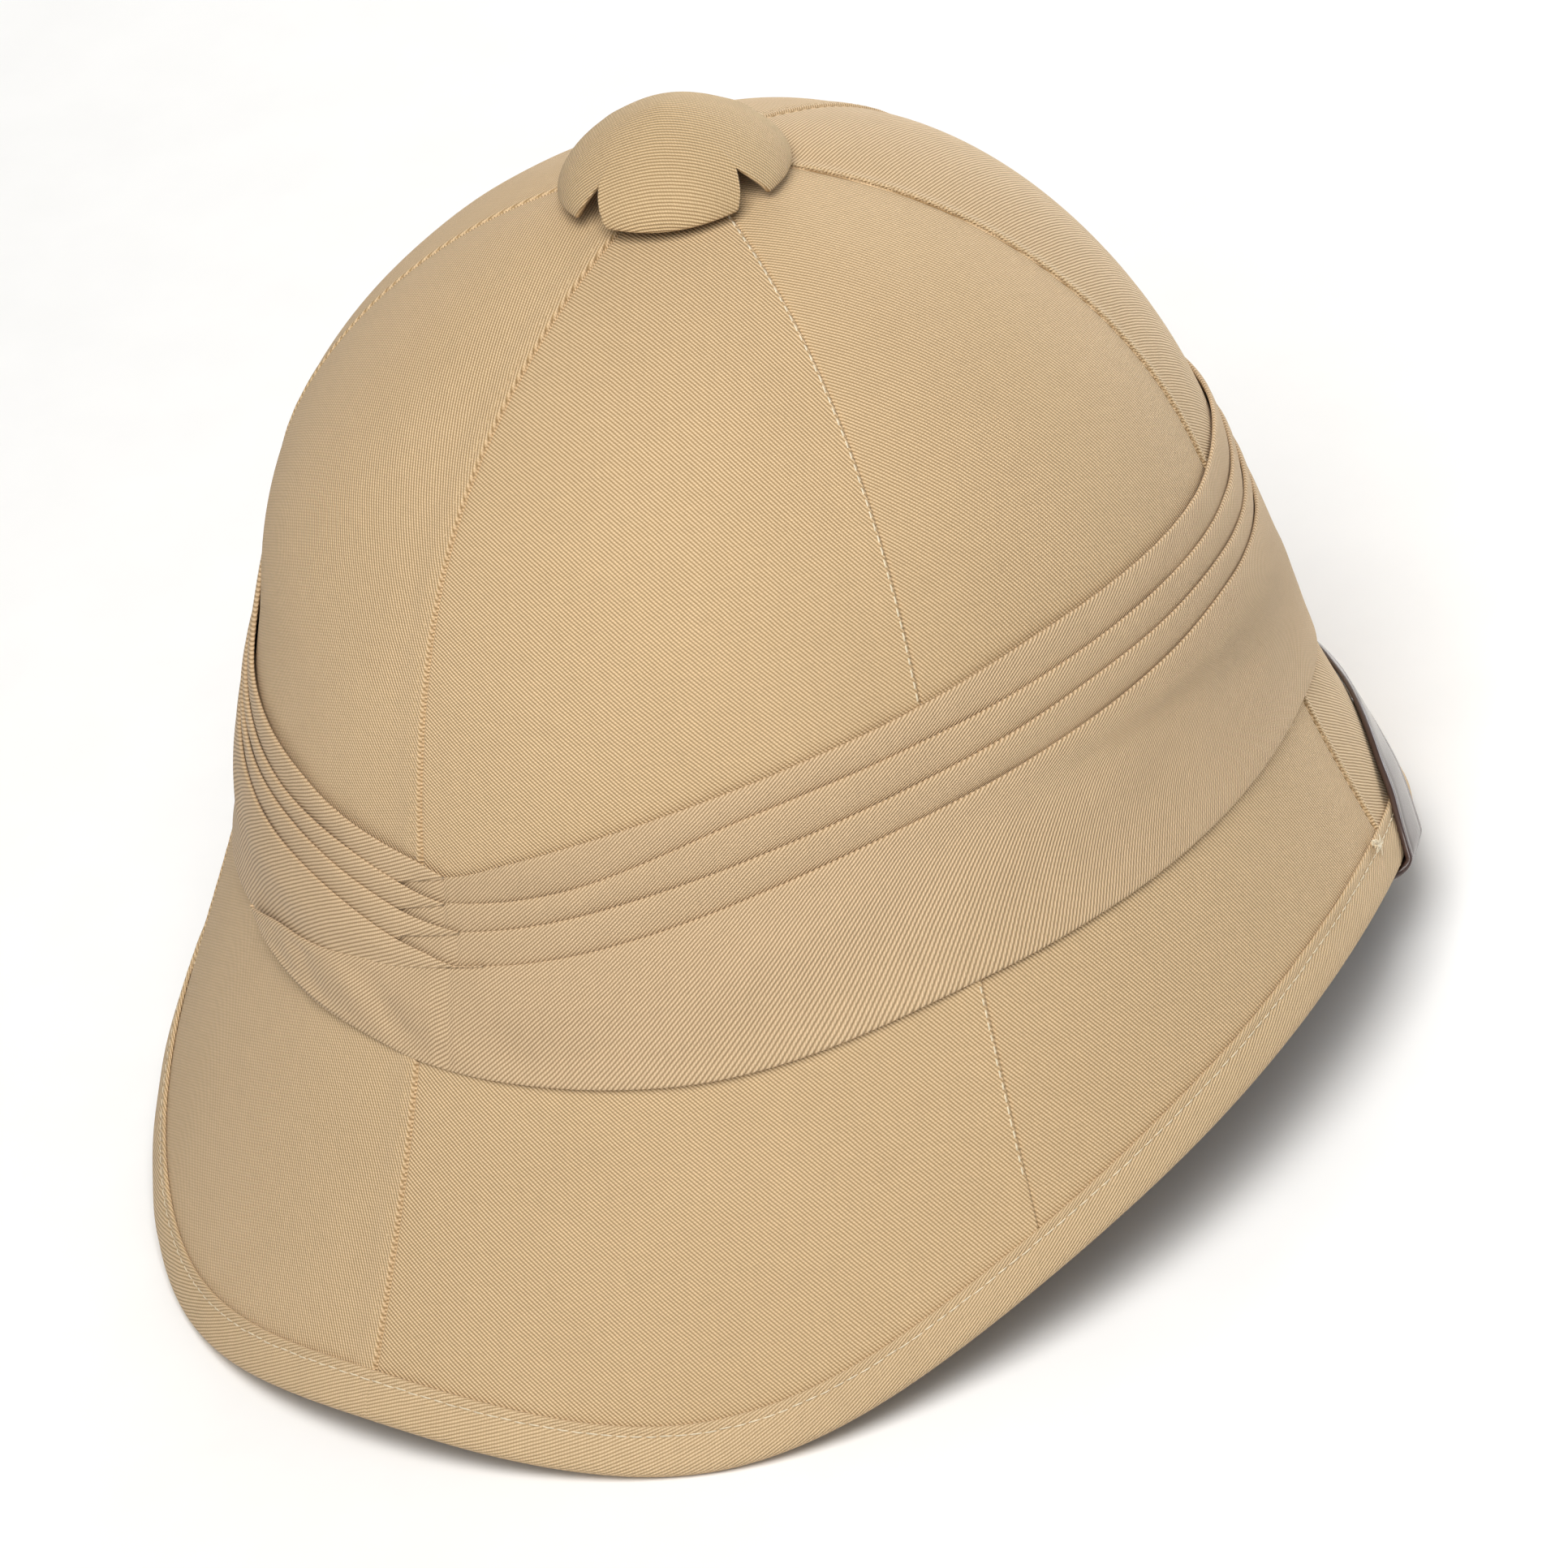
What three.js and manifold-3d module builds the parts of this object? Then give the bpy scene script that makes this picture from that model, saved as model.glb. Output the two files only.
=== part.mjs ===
// Pith helmet: a cloth-covered cork body with a pleated band, a bound rim, a vent cap and a strap.
// Millimetres, +Z up, front towards -Y, the wearer's left towards +X, resting on its rim at Z = 0.
// Azimuth turns from the rear seam (0) past the wearer's right (90) to the front seam (180).
import * as THREE from "three";
import { mergeVertices } from "three/addons/utils/BufferGeometryUtils.js";
import Module from "manifold-3d";

// Body
const BASE_REAR = 116;
const BASE_SIDE = 106;
const BASE_FRONT = 117.5;
const CROWN_DEPTH = 106;
const BRIM_REACH = 154.5;
const BRIM_DROP = 224;
const APEX_SET_BACK = 7.5;
const BODY_WALL = 3;
const REST_TILT = 10.17;

// Pieces laid on the body
const LAY_GAP = 0.35;
const BAND_GAP = 0.6;
const BAND_THICKNESS = 1.25;
const BINDING_WIDTH = 10;
const BINDING_THICKNESS = 1;
const REST_TRIM = 0.6;

// Vent cap
const CAP_RADIUS = 24.9;
const CAP_HEIGHT = 17.2;
const CAP_FULLNESS = 1.55;
const CAP_WALL = 2;
const CAP_SET_BACK = 10;
const CAP_RIM_LEVEL = -2.3;
const CAP_TILT = 5.2;
const NOTCH_HALF_WIDTH = 4.8;
const NOTCH_HEIGHT = 7;
const NOTCH_TURN = -8;
const POST_RADIUS = 4;
const POST_FOOT = -0.75;

// Chin strap
const STRAP_WIDTH = 13;
const STRAP_THICKNESS = 1.5;
const STRAP_CLEARANCE = 0.85;
const STUD_RADIUS = 4;
const STUD_HEIGHT = 1.6;

const COLUMNS = 72;

// Crown rows from the top down: reach as a share of the base reaches, drop as a share of
// the crown depth, setBack as a share of the apex's set-back.
const CROWN_ROWS = [
  { setBack: 1, reach: [0, 0, 0], drop: [-0.047, -0.047, -0.047] },
  { setBack: 0.333, reach: [0.534, 0.533, 0.553], drop: [0.193, 0.127, 0.075] },
  { setBack: 0.4, reach: [0.836, 0.939, 0.868], drop: [0.519, 0.524, 0.566] },
  { setBack: 0.267, reach: [0.97, 1, 0.97], drop: [0.991, 1.014, 1] },
  { setBack: 0, reach: [1, 1, 1], drop: [1.259, 1, 1.184] },
];

// The edge's row: the brim's middle and its edge follow the crown's rows.
const LAST_ROW = CROWN_ROWS.length + 1;

// The brim's middle row: how far it lies from the base to the edge, at rear, side and front.
const BRIM_MIDDLE = { out: [0.29, 0.25, 0.29], down: [0.42, 0.36, 0.33] };

// The brim's edge every 30 degrees from rear to front, as shares of its reach and drop.
const EDGE_STATIONS = [
  { reach: 1, drop: 1 },
  { reach: 0.987, drop: 1.094 },
  { reach: 0.916, drop: 0.9 },
  { reach: 0.845, drop: 0.801 },
  { reach: 0.854, drop: 0.768 },
  { reach: 0.926, drop: 0.848 },
  { reach: 0.942, drop: 0.815 },
];

// The band's lines every 30 degrees from the rear crossing to the front, in body rows.
const BAND_CROSSING = 3;
const BAND_LINES = [
  { top: 3.48, fold2: 3.65, fold3: 3.83, fold4: 4.05, bottom: 4.62 },
  { top: 2.94, fold2: 3.14, fold3: 3.4, fold4: 3.72, bottom: 4.7 },
  { top: 2.61, fold2: 2.8, fold3: 3.03, fold4: 3.37, bottom: 4.89 },
  { top: 2.44, fold2: 2.61, fold3: 2.78, fold4: 3.01, bottom: 5.01 },
  { top: 2.4, fold2: 2.58, fold3: 2.77, fold4: 2.95, bottom: 4.88 },
  { top: 2.4, fold2: 2.58, fold3: 2.76, fold4: 2.96, bottom: 4.8 },
  { top: 2.42, fold2: 2.6, fold3: 2.78, fold4: 2.98, bottom: 4.78 },
];

// The tail's lower edge over the tucked end: its row at the crossing, and the row and swing at which it
// meets the band's bottom.
const TUCK = { top: 4.02, end: 4.53, swing: 34 };

// The band's outer face from top to bottom, as multiples of its cloth over the body.
const BAND_SECTION = [
  { from: "top", to: "fold2", share: 0, lift: 0.9 },
  { from: "top", to: "fold2", share: 0.92, lift: 1 },
  { from: "fold2", to: "fold3", share: 0, lift: 1.6 },
  { from: "fold2", to: "fold3", share: 0.92, lift: 1.5 },
  { from: "fold3", to: "fold4", share: 0, lift: 2.1 },
  { from: "fold3", to: "fold4", share: 0.92, lift: 1.9 },
  { from: "fold4", to: "bottom", share: 0, lift: 2.5 },
  { from: "fold4", to: "bottom", share: 0.35, lift: 2.6 },
  { from: "fold4", to: "bottom", share: 0.7, lift: 2.1 },
  { from: "fold4", to: "bottom", share: 1, lift: 1.1 },
];

// Levels of the strap's middle over the body's outer face.
const OVER_BINDING = LAY_GAP + BINDING_THICKNESS + STRAP_CLEARANCE + STRAP_THICKNESS / 2;
const STRAP_LEVELS = {
  inside: -BODY_WALL - STRAP_CLEARANCE - STRAP_THICKNESS / 2,
  underRim: -BODY_WALL - OVER_BINDING,
  nose: -BODY_WALL / 2,
  overRim: OVER_BINDING,
  onBrim: STRAP_CLEARANCE + STRAP_THICKNESS / 2,
};

// The strap's middle line from its stud inside the right wall to the front seam: a share of a
// level, how far it runs past the edge as a share of the binding's reach, and how far it has turned.
const STRAP_ROWS = [
  { azimuth: 113, row: 4.2, level: "inside", share: 1, past: 0, turn: 180 },
  { azimuth: 114, row: 4.6, level: "inside", share: 1, past: 0, turn: 180 },
  { azimuth: 116, row: 5.1, level: "inside", share: 1.04, past: 0, turn: 180 },
  { azimuth: 119, row: 5.5, level: "inside", share: 1.07, past: 0, turn: 180 },
  { azimuth: 121.5, row: 5.76, level: "underRim", share: 1, past: 0, turn: 180 },
  { azimuth: 122.6, row: 5.96, level: "underRim", share: 1.03, past: 0, turn: 172 },
  { azimuth: 122.9, row: 6, level: "underRim", share: 0.84, past: 0.8, turn: 130 },
  { azimuth: 123.1, row: 6, level: "nose", share: 1, past: 1.3, turn: 90 },
  { azimuth: 123.3, row: 6, level: "overRim", share: 0.68, past: 0.8, turn: 50 },
  { azimuth: 123.6, row: 5.96, level: "overRim", share: 1.05, past: 0, turn: 8 },
  { azimuth: 124.8, row: 5.8, level: "overRim", share: 1, past: 0, turn: 0 },
  { azimuth: 128, row: 5.6, level: "onBrim", share: 1.3, past: 0, turn: 0 },
  { azimuth: 134, row: 5.38, level: "onBrim", share: 1.18, past: 0, turn: 0 },
  { azimuth: 142, row: 5.24, level: "onBrim", share: 1.18, past: 0, turn: 0 },
  { azimuth: 152, row: 5.17, level: "onBrim", share: 1.18, past: 0, turn: 0 },
  { azimuth: 165, row: 5.13, level: "onBrim", share: 1.18, past: 0, turn: 0 },
  { azimuth: 180, row: 5.12, level: "onBrim", share: 1.18, past: 0, turn: 0 },
];

const rad = THREE.MathUtils.degToRad;

function splineWeights(u) {
  const v = 1 - u;
  const near = (t) => (3 * t * t * t - 6 * t * t + 4) / 6;
  return [(v * v * v) / 6, near(u), near(v), (u * u * u) / 6];
}

// A value given at rear, side and front, blended smoothly round the body.
function around([rear, side, front], azimuth) {
  const c = Math.cos(rad(azimuth));
  const end = c >= 0 ? rear : front;
  return side + (end - side) * c * c;
}

// A column of the edge table at any azimuth, mirrored left to right.
function edgeShare(column, azimuth) {
  const turn = (((azimuth % 360) + 360) % 360) / 30;
  const start = Math.floor(turn);
  const weights = splineWeights(turn - start);
  return weights.reduce((sum, weight, k) => {
    const step = (start + k + 11) % 12;
    return sum + weight * EDGE_STATIONS[step > 6 ? 12 - step : step][column];
  }, 0);
}

// Control rows of the body's profile at one azimuth, from the top to the edge.
function profileRows(azimuth) {
  const reaches = [BASE_REAR, BASE_SIDE, BASE_FRONT];
  const rows = CROWN_ROWS.map(({ setBack, reach, drop }) => ({
    reach: around(reach.map((share, k) => share * reaches[k]), azimuth),
    z: -CROWN_DEPTH * around(drop, azimuth),
    back: setBack * APEX_SET_BACK,
  }));
  const base = rows[rows.length - 1];
  const edge = {
    reach: BRIM_REACH * edgeShare("reach", azimuth),
    z: -BRIM_DROP * edgeShare("drop", azimuth),
    back: 0,
  };
  rows.push({
    reach: base.reach + (edge.reach - base.reach) * around(BRIM_MIDDLE.out, azimuth),
    z: base.z + (edge.z - base.z) * around(BRIM_MIDDLE.down, azimuth),
    back: 0,
  });
  rows.push(edge);
  const middle = rows[rows.length - 2];
  rows.push({ reach: 2 * edge.reach - middle.reach, z: 2 * edge.z - middle.z, back: 0 });
  rows.unshift({ reach: -rows[1].reach, z: rows[1].z, back: rows[1].back });
  return rows;
}

// A point of the body's outer face at an azimuth and a profile row, run on straight past the edge.
function facePoint(azimuth, row) {
  if (row > LAST_ROW) {
    const edge = facePoint(azimuth, LAST_ROW);
    const before = facePoint(azimuth, LAST_ROW - 0.05);
    return edge.clone().add(edge.clone().sub(before).multiplyScalar((row - LAST_ROW) / 0.05));
  }
  const rows = profileRows(azimuth);
  const start = Math.min(Math.floor(row), LAST_ROW - 1);
  const weights = splineWeights(row - start);
  const blend = (key) => weights.reduce((sum, weight, k) => sum + weight * rows[start + k][key], 0);
  const reach = blend("reach");
  const x = -reach * Math.sin(rad(azimuth));
  return new THREE.Vector3(x, reach * Math.cos(rad(azimuth)) + blend("back"), blend("z"));
}

// Outward normal and downward tangent of the outer face.
function faceFrame(azimuth, row) {
  const at = Math.max(row, 0.05);
  const down = facePoint(azimuth, at + 0.02).sub(facePoint(azimuth, at - 0.02)).normalize();
  const sideways = facePoint(azimuth + 0.5, at).sub(facePoint(azimuth - 0.5, at)).normalize();
  return { normal: down.clone().cross(sideways).normalize(), down };
}

function liftedPoint(azimuth, row, lift) {
  if (row === 0) {
    return facePoint(azimuth, 0).add(new THREE.Vector3(0, 0, lift));
  }
  return facePoint(azimuth, row).addScaledVector(faceFrame(azimuth, row).normal, lift);
}

function signedVolume(points, faces) {
  const volume = (face) => points[face[0]].dot(points[face[1]].clone().cross(points[face[2]]));
  return faces.reduce((sum, face) => sum + volume(face), 0) / 6;
}

function closedGeometry(points, faces) {
  const turned = signedVolume(points, faces) < 0;
  const geometry = new THREE.BufferGeometry();
  const flat = points.flatMap((point) => [point.x, point.y, point.z]);
  geometry.setAttribute("position", new THREE.Float32BufferAttribute(flat, 3));
  geometry.setIndex(faces.flatMap(([a, b, c]) => (turned ? [a, c, b] : [a, b, c])));
  geometry.computeVertexNormals();
  return geometry;
}

// A cup closed at two poles: rows of points between a first and a last point on the axis.
function cupGeometry(first, rows, last) {
  const points = [first, ...rows.flat(), last];
  const at = (i, j) => 1 + i * COLUMNS + (j % COLUMNS);
  const faces = [];
  for (let j = 0; j < COLUMNS; j += 1) {
    faces.push([0, at(0, j), at(0, j + 1)]);
    faces.push([points.length - 1, at(rows.length - 1, j + 1), at(rows.length - 1, j)]);
    for (let i = 0; i < rows.length - 1; i += 1) {
      faces.push([at(i, j), at(i + 1, j), at(i + 1, j + 1)]);
      faces.push([at(i, j), at(i + 1, j + 1), at(i, j + 1)]);
    }
  }
  return closedGeometry(points, faces);
}

// Section loops joined in order. A loop lists one face and then the other face backwards.
function sweptGeometry(loops, isRing) {
  const count = loops[0].length;
  const at = (i, j) => (i % loops.length) * count + (j % count);
  const faces = [];
  const spans = isRing ? loops.length : loops.length - 1;
  for (let i = 0; i < spans; i += 1) {
    for (let j = 0; j < count; j += 1) {
      faces.push([at(i, j), at(i + 1, j), at(i + 1, j + 1)]);
      faces.push([at(i, j), at(i + 1, j + 1), at(i, j + 1)]);
    }
  }
  if (!isRing) {
    const last = loops.length - 1;
    for (let j = 0; j < count / 2 - 1; j += 1) {
      const mate = count - 1 - j;
      faces.push([at(0, j), at(0, j + 1), at(0, mate - 1)], [at(0, j), at(0, mate - 1), at(0, mate)]);
      faces.push([at(last, j + 1), at(last, j), at(last, mate)]);
      faces.push([at(last, j + 1), at(last, mate), at(last, mate - 1)]);
    }
  }
  return closedGeometry(loops.flat(), faces);
}

function columnAzimuths() {
  return Array.from({ length: COLUMNS }, (_, k) => (k * 360) / COLUMNS);
}

function bodyGeometry() {
  const outer = [0.3, 0.6, 0.9, 1.2, 1.5, 1.85, 2.2, 2.6, 3, 3.5, 4, 4.4, 4.8, 5.15, 5.5, 5.8, 6];
  const inner = [6, 5.8, 5.4, 5, 4.6, 4.2, 3.6, 3, 2.5, 2, 1.5, 1.1, 0.7, 0.35];
  const ring = (row, lift) => columnAzimuths().map((azimuth) => liftedPoint(azimuth, row, lift));
  const rows = [...outer.map((row) => ring(row, 0)), ...inner.map((row) => ring(row, -BODY_WALL))];
  return cupGeometry(liftedPoint(0, 0, 0), rows, liftedPoint(0, 0, -BODY_WALL));
}

// Rows to a millimetre along the profile at the edge.
function rowsPerMillimetre(azimuth) {
  return 0.1 / facePoint(azimuth, LAST_ROW).distanceTo(facePoint(azimuth, LAST_ROW - 0.1));
}

function bindingGeometry() {
  const near = LAY_GAP;
  const far = LAY_GAP + BINDING_THICKNESS;
  const section = [
    { inset: BINDING_WIDTH, lift: far },
    { inset: BINDING_WIDTH / 2, lift: far },
    { inset: 0, lift: far },
    { inset: -0.7 * far, lift: 0.45 * far },
    { inset: -far, lift: -BODY_WALL / 2 },
    { inset: -0.7 * far, lift: -BODY_WALL - 0.45 * far },
    { inset: 0, lift: -BODY_WALL - far },
    { inset: BINDING_WIDTH, lift: -BODY_WALL - far },
    { inset: BINDING_WIDTH, lift: -BODY_WALL - near },
    { inset: -near, lift: -BODY_WALL - near },
    { inset: -near, lift: near },
    { inset: BINDING_WIDTH, lift: near },
  ];
  const loops = columnAzimuths().map((azimuth) => {
    const scale = rowsPerMillimetre(azimuth);
    return section.map(({ inset, lift }) => liftedPoint(azimuth, LAST_ROW - inset * scale, lift));
  });
  return sweptGeometry(loops, true);
}

// A band line at a swing from the rear crossing, passing through the table's values.
function bandLine(column, swing) {
  const steps = BAND_LINES.length - 1;
  const turn = Math.min(Math.max(Math.abs(swing), 0), 180) / 30;
  const start = Math.min(Math.floor(turn), steps - 1);
  const value = (k) => BAND_LINES[k > steps ? 2 * steps - k : k][column];
  const before = start === 0 ? 2 * value(0) - value(1) : value(start - 1);
  const [a, b, c, d] = [before, value(start), value(start + 1), value(start + 2)];
  const u = turn - start;
  return b + 0.5 * u * (c - a + u * (2 * a - 5 * b + 4 * c - d + u * (3 * (b - c) + d - a)));
}

// The band runs from its tucked end under the left tail, round the right and the front, to the tail.
function bandLines(travel) {
  const isTail = travel > 180;
  const swing = isTail ? 360 - travel : travel;
  const lines = Object.fromEntries(Object.keys(BAND_LINES[0]).map((key) => [key, bandLine(key, swing)]));
  const rise = THREE.MathUtils.clamp(Math.abs(swing) / TUCK.swing, 0, 1);
  const tailBottom = TUCK.top + (TUCK.end - TUCK.top) * rise;
  if (isTail) {
    const open = THREE.MathUtils.smoothstep(swing, TUCK.swing, 2 * TUCK.swing);
    lines.bottom = Math.min(lines.bottom, tailBottom + (lines.bottom - tailBottom) * open + 0.1);
    return lines;
  }
  if (travel < 0.6) {
    const top = tailBottom + 0.13;
    const bottom = bandLine("bottom", 0) - 0.06 * rise;
    const step = Math.max(bottom - top, 0.04) / 4;
    return { top, fold2: top + step, fold3: top + 2 * step, fold4: top + 3 * step, bottom: top + 4 * step };
  }
  return lines;
}

function bandGeometry() {
  const whole = Array.from({ length: 79 }, (_, k) => (k - 6) * 5);
  const azimuths = [...whole.filter((azimuth) => azimuth < BAND_CROSSING), 3.4, 4.2];
  azimuths.push(...whole.filter((azimuth) => azimuth > 4.2 && azimuth < 360 + BAND_CROSSING), 362.4);
  const travels = azimuths.map((azimuth) => azimuth - BAND_CROSSING);
  const loops = travels.map((travel) => {
    const lines = bandLines(travel);
    const azimuth = travel + BAND_CROSSING;
    const fullness = travel < 0 ? 0.6 : 1;
    const face = BAND_SECTION.map(({ from, to, share, lift }) => ({
      row: lines[from] + (lines[to] - lines[from]) * share,
      lift: BAND_GAP + BAND_THICKNESS * lift * fullness,
    }));
    const outer = face.map(({ row, lift }) => liftedPoint(azimuth, row, lift));
    const inner = face.map(({ row }) => liftedPoint(azimuth, row, BAND_GAP));
    return [...outer, ...inner.reverse()];
  });
  return sweptGeometry(loops, false);
}

function strapPoint({ azimuth, row, level, share, past }) {
  const run = row + past * OVER_BINDING * rowsPerMillimetre(azimuth);
  return liftedPoint(azimuth, run, STRAP_LEVELS[level] * share);
}

function strapGeometry() {
  const left = STRAP_ROWS.slice(0, -1).map((row) => ({ ...row, azimuth: 360 - row.azimuth }));
  const rows = [...STRAP_ROWS, ...left.reverse()];
  const middle = new THREE.CatmullRomCurve3(rows.map(strapPoint), false, "centripetal");
  const facing = new THREE.CatmullRomCurve3(rows.map(({ azimuth, row, turn }) => {
    const { normal, down } = faceFrame(azimuth, Math.min(row, LAST_ROW));
    return normal.multiplyScalar(Math.cos(rad(turn))).addScaledVector(down, Math.sin(rad(turn)));
  }), false, "centripetal");
  const perSpan = 3;
  const steps = (rows.length - 1) * perSpan;
  const loops = Array.from({ length: steps + 1 }, (_, k) => {
    const along = k / steps;
    const centre = middle.getPoint(along);
    const tangent = middle.getTangent(along);
    const out = facing.getPoint(along);
    out.addScaledVector(tangent, -out.dot(tangent)).normalize();
    const across = out.clone().cross(tangent);
    const corner = (side, face) => centre.clone()
      .addScaledVector(across, (side * STRAP_WIDTH) / 2)
      .addScaledVector(out, (face * STRAP_THICKNESS) / 2);
    return [corner(-1, 1), corner(1, 1), corner(1, -1), corner(-1, -1)];
  });
  return sweptGeometry(loops, false);
}

const wasm = await Module();
wasm.setup();

function toManifold(geometry) {
  const plain = new THREE.BufferGeometry();
  plain.setAttribute("position", geometry.getAttribute("position"));
  plain.setIndex(geometry.getIndex());
  const merged = mergeVertices(plain, 1e-4);
  const vertProperties = new Float32Array(merged.getAttribute("position").array);
  const triVerts = new Uint32Array(merged.getIndex().array);
  return new wasm.Manifold(new wasm.Mesh({ numProp: 3, vertProperties, triVerts }));
}

function fromManifold(solid) {
  const { numProp, vertProperties, triVerts } = solid.getMesh();
  const geometry = new THREE.BufferGeometry();
  const count = vertProperties.length / numProp;
  const positions = new Float32Array(3 * count);
  for (let k = 0; k < count; k += 1) {
    positions.set(vertProperties.subarray(k * numProp, k * numProp + 3), 3 * k);
  }
  geometry.setAttribute("position", new THREE.BufferAttribute(positions, 3));
  geometry.setIndex(Array.from(triVerts));
  geometry.computeVertexNormals();
  return geometry;
}

// The cap: a turned dome, open below, with four notches cut up from its rim.
function capGeometry() {
  const arc = (radius, height) => Array.from({ length: 9 }, (_, k) => {
    const angle = (k / 8) * (Math.PI / 2);
    const power = 2 / CAP_FULLNESS;
    return new THREE.Vector2(
      k === 8 ? 0 : radius * Math.cos(angle) ** power, k === 0 ? 0 : height * Math.sin(angle) ** power);
  });
  const inner = arc(CAP_RADIUS - CAP_WALL, CAP_HEIGHT - CAP_WALL).reverse();
  const dome = new THREE.LatheGeometry([...inner, ...arc(CAP_RADIUS, CAP_HEIGHT)], 36);
  dome.rotateX(Math.PI / 2);
  let solid = toManifold(dome);
  const notch = new THREE.Shape([
    new THREE.Vector2(-NOTCH_HALF_WIDTH * 1.3, -NOTCH_HEIGHT * 0.3),
    new THREE.Vector2(NOTCH_HALF_WIDTH * 1.3, -NOTCH_HEIGHT * 0.3),
    new THREE.Vector2(0, NOTCH_HEIGHT),
  ]);
  for (let k = 0; k < 4; k += 1) {
    const cutter = new THREE.ExtrudeGeometry(notch, { depth: CAP_RADIUS, bevelEnabled: false });
    cutter.rotateX(Math.PI / 2);
    cutter.translate(0, CAP_RADIUS * 1.5, 0);
    cutter.rotateZ(rad(NOTCH_TURN + 90 * k));
    solid = solid.subtract(toManifold(cutter));
  }
  return fromManifold(solid);
}

function finish(color, roughness, metalness = 0) {
  return new THREE.MeshStandardMaterial({ color, roughness, metalness, side: THREE.DoubleSide });
}

const coverCloth = finish(0xcfb285, 0.9);
const bandCloth = finish(0xc4a87e, 0.9);
const tapeCloth = finish(0xc9ad82, 0.88);
const strapLeather = finish(0x3e2a22, 0.38);
const studBrass = finish(0xb08d4f, 0.35, 1);

function named(name, geometry, material) {
  const mesh = new THREE.Mesh(geometry, material);
  mesh.name = name;
  return mesh;
}

const worn = new THREE.Group();
worn.rotation.x = rad(REST_TILT);

const bindingRing = bindingGeometry();
bindingRing.rotateX(rad(REST_TILT));
bindingRing.computeBoundingBox();
const restLevel = bindingRing.boundingBox.min.z + REST_TRIM;
worn.position.z = -restLevel;

const floorBlock = new THREE.BoxGeometry(4 * BRIM_REACH, 4 * BRIM_REACH, BRIM_DROP);
floorBlock.translate(0, 0, restLevel - BRIM_DROP / 2);
const trimmedRing = fromManifold(toManifold(bindingRing).subtract(toManifold(floorBlock)));
const binding = named("brim_binding", trimmedRing, tapeCloth);
binding.position.z = -restLevel;

worn.add(named("helmet_body", bodyGeometry(), coverCloth));
worn.add(named("puggaree_band", bandGeometry(), bandCloth));
worn.add(named("chin_strap", strapGeometry(), strapLeather));

const ventilator = new THREE.Group();
ventilator.position.set(0, CAP_SET_BACK, CAP_RIM_LEVEL);
ventilator.rotation.x = -rad(CAP_TILT);
const postShare = (POST_RADIUS / (CAP_RADIUS - CAP_WALL)) ** CAP_FULLNESS;
const postTop = (CAP_HEIGHT - CAP_WALL) * (1 - postShare) ** (1 / CAP_FULLNESS) - LAY_GAP;
const post = new THREE.CylinderGeometry(POST_RADIUS, POST_RADIUS, postTop - POST_FOOT, 16);
post.rotateX(Math.PI / 2);
post.translate(0, 0, (postTop + POST_FOOT) / 2);
ventilator.add(named("ventilator_cap", capGeometry(), coverCloth));
ventilator.add(named("cap_post", post, studBrass));
worn.add(ventilator);

for (const [name, side] of [["strap_stud_right", 1], ["strap_stud_left", -1]]) {
  const azimuth = side * (STRAP_ROWS[0].azimuth + 0.4);
  const row = STRAP_ROWS[0].row + 0.12;
  const { normal } = faceFrame(azimuth, row);
  const lift = STRAP_LEVELS.inside - STRAP_THICKNESS / 2 - LAY_GAP - STUD_HEIGHT / 2;
  const shape = new THREE.CylinderGeometry(STUD_RADIUS, STUD_RADIUS, STUD_HEIGHT, 16);
  const stud = named(name, shape, studBrass);
  stud.position.copy(liftedPoint(azimuth, row, lift));
  stud.quaternion.setFromUnitVectors(new THREE.Vector3(0, 1, 0), normal);
  worn.add(stud);
}

const helmet = new THREE.Group();
helmet.add(worn, binding);
const extent = new THREE.Box3().setFromObject(helmet, true);
helmet.position.y = -(extent.min.y + extent.max.y) / 2;

export default helmet;
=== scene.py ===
"""A pith helmet covered in khaki cotton twill, resting on its brim on a pale floor."""

import math

import bpy
import numpy as np
from mathutils import Matrix, Vector


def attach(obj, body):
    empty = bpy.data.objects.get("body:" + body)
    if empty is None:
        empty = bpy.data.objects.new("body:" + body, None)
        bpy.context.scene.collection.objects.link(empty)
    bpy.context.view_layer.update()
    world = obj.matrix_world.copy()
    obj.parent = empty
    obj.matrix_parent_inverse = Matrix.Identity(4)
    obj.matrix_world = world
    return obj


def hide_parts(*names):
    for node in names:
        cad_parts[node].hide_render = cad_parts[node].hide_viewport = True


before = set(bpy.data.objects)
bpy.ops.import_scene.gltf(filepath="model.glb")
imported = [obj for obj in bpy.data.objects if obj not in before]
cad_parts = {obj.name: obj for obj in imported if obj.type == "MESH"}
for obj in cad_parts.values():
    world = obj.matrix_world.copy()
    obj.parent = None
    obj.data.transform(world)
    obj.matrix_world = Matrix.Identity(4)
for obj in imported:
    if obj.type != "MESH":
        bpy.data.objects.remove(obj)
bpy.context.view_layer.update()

# Sizes in millimetres, of the helmet worn upright
BASE = (116.0, 106.0, 117.5)
CROWN_DEPTH = 106.0
BRIM_REACH = 154.5
BRIM_DROP = 224.0
APEX_SET_BACK = 7.5
BODY_WALL = 3.0
LAST_ROW = 6
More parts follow.
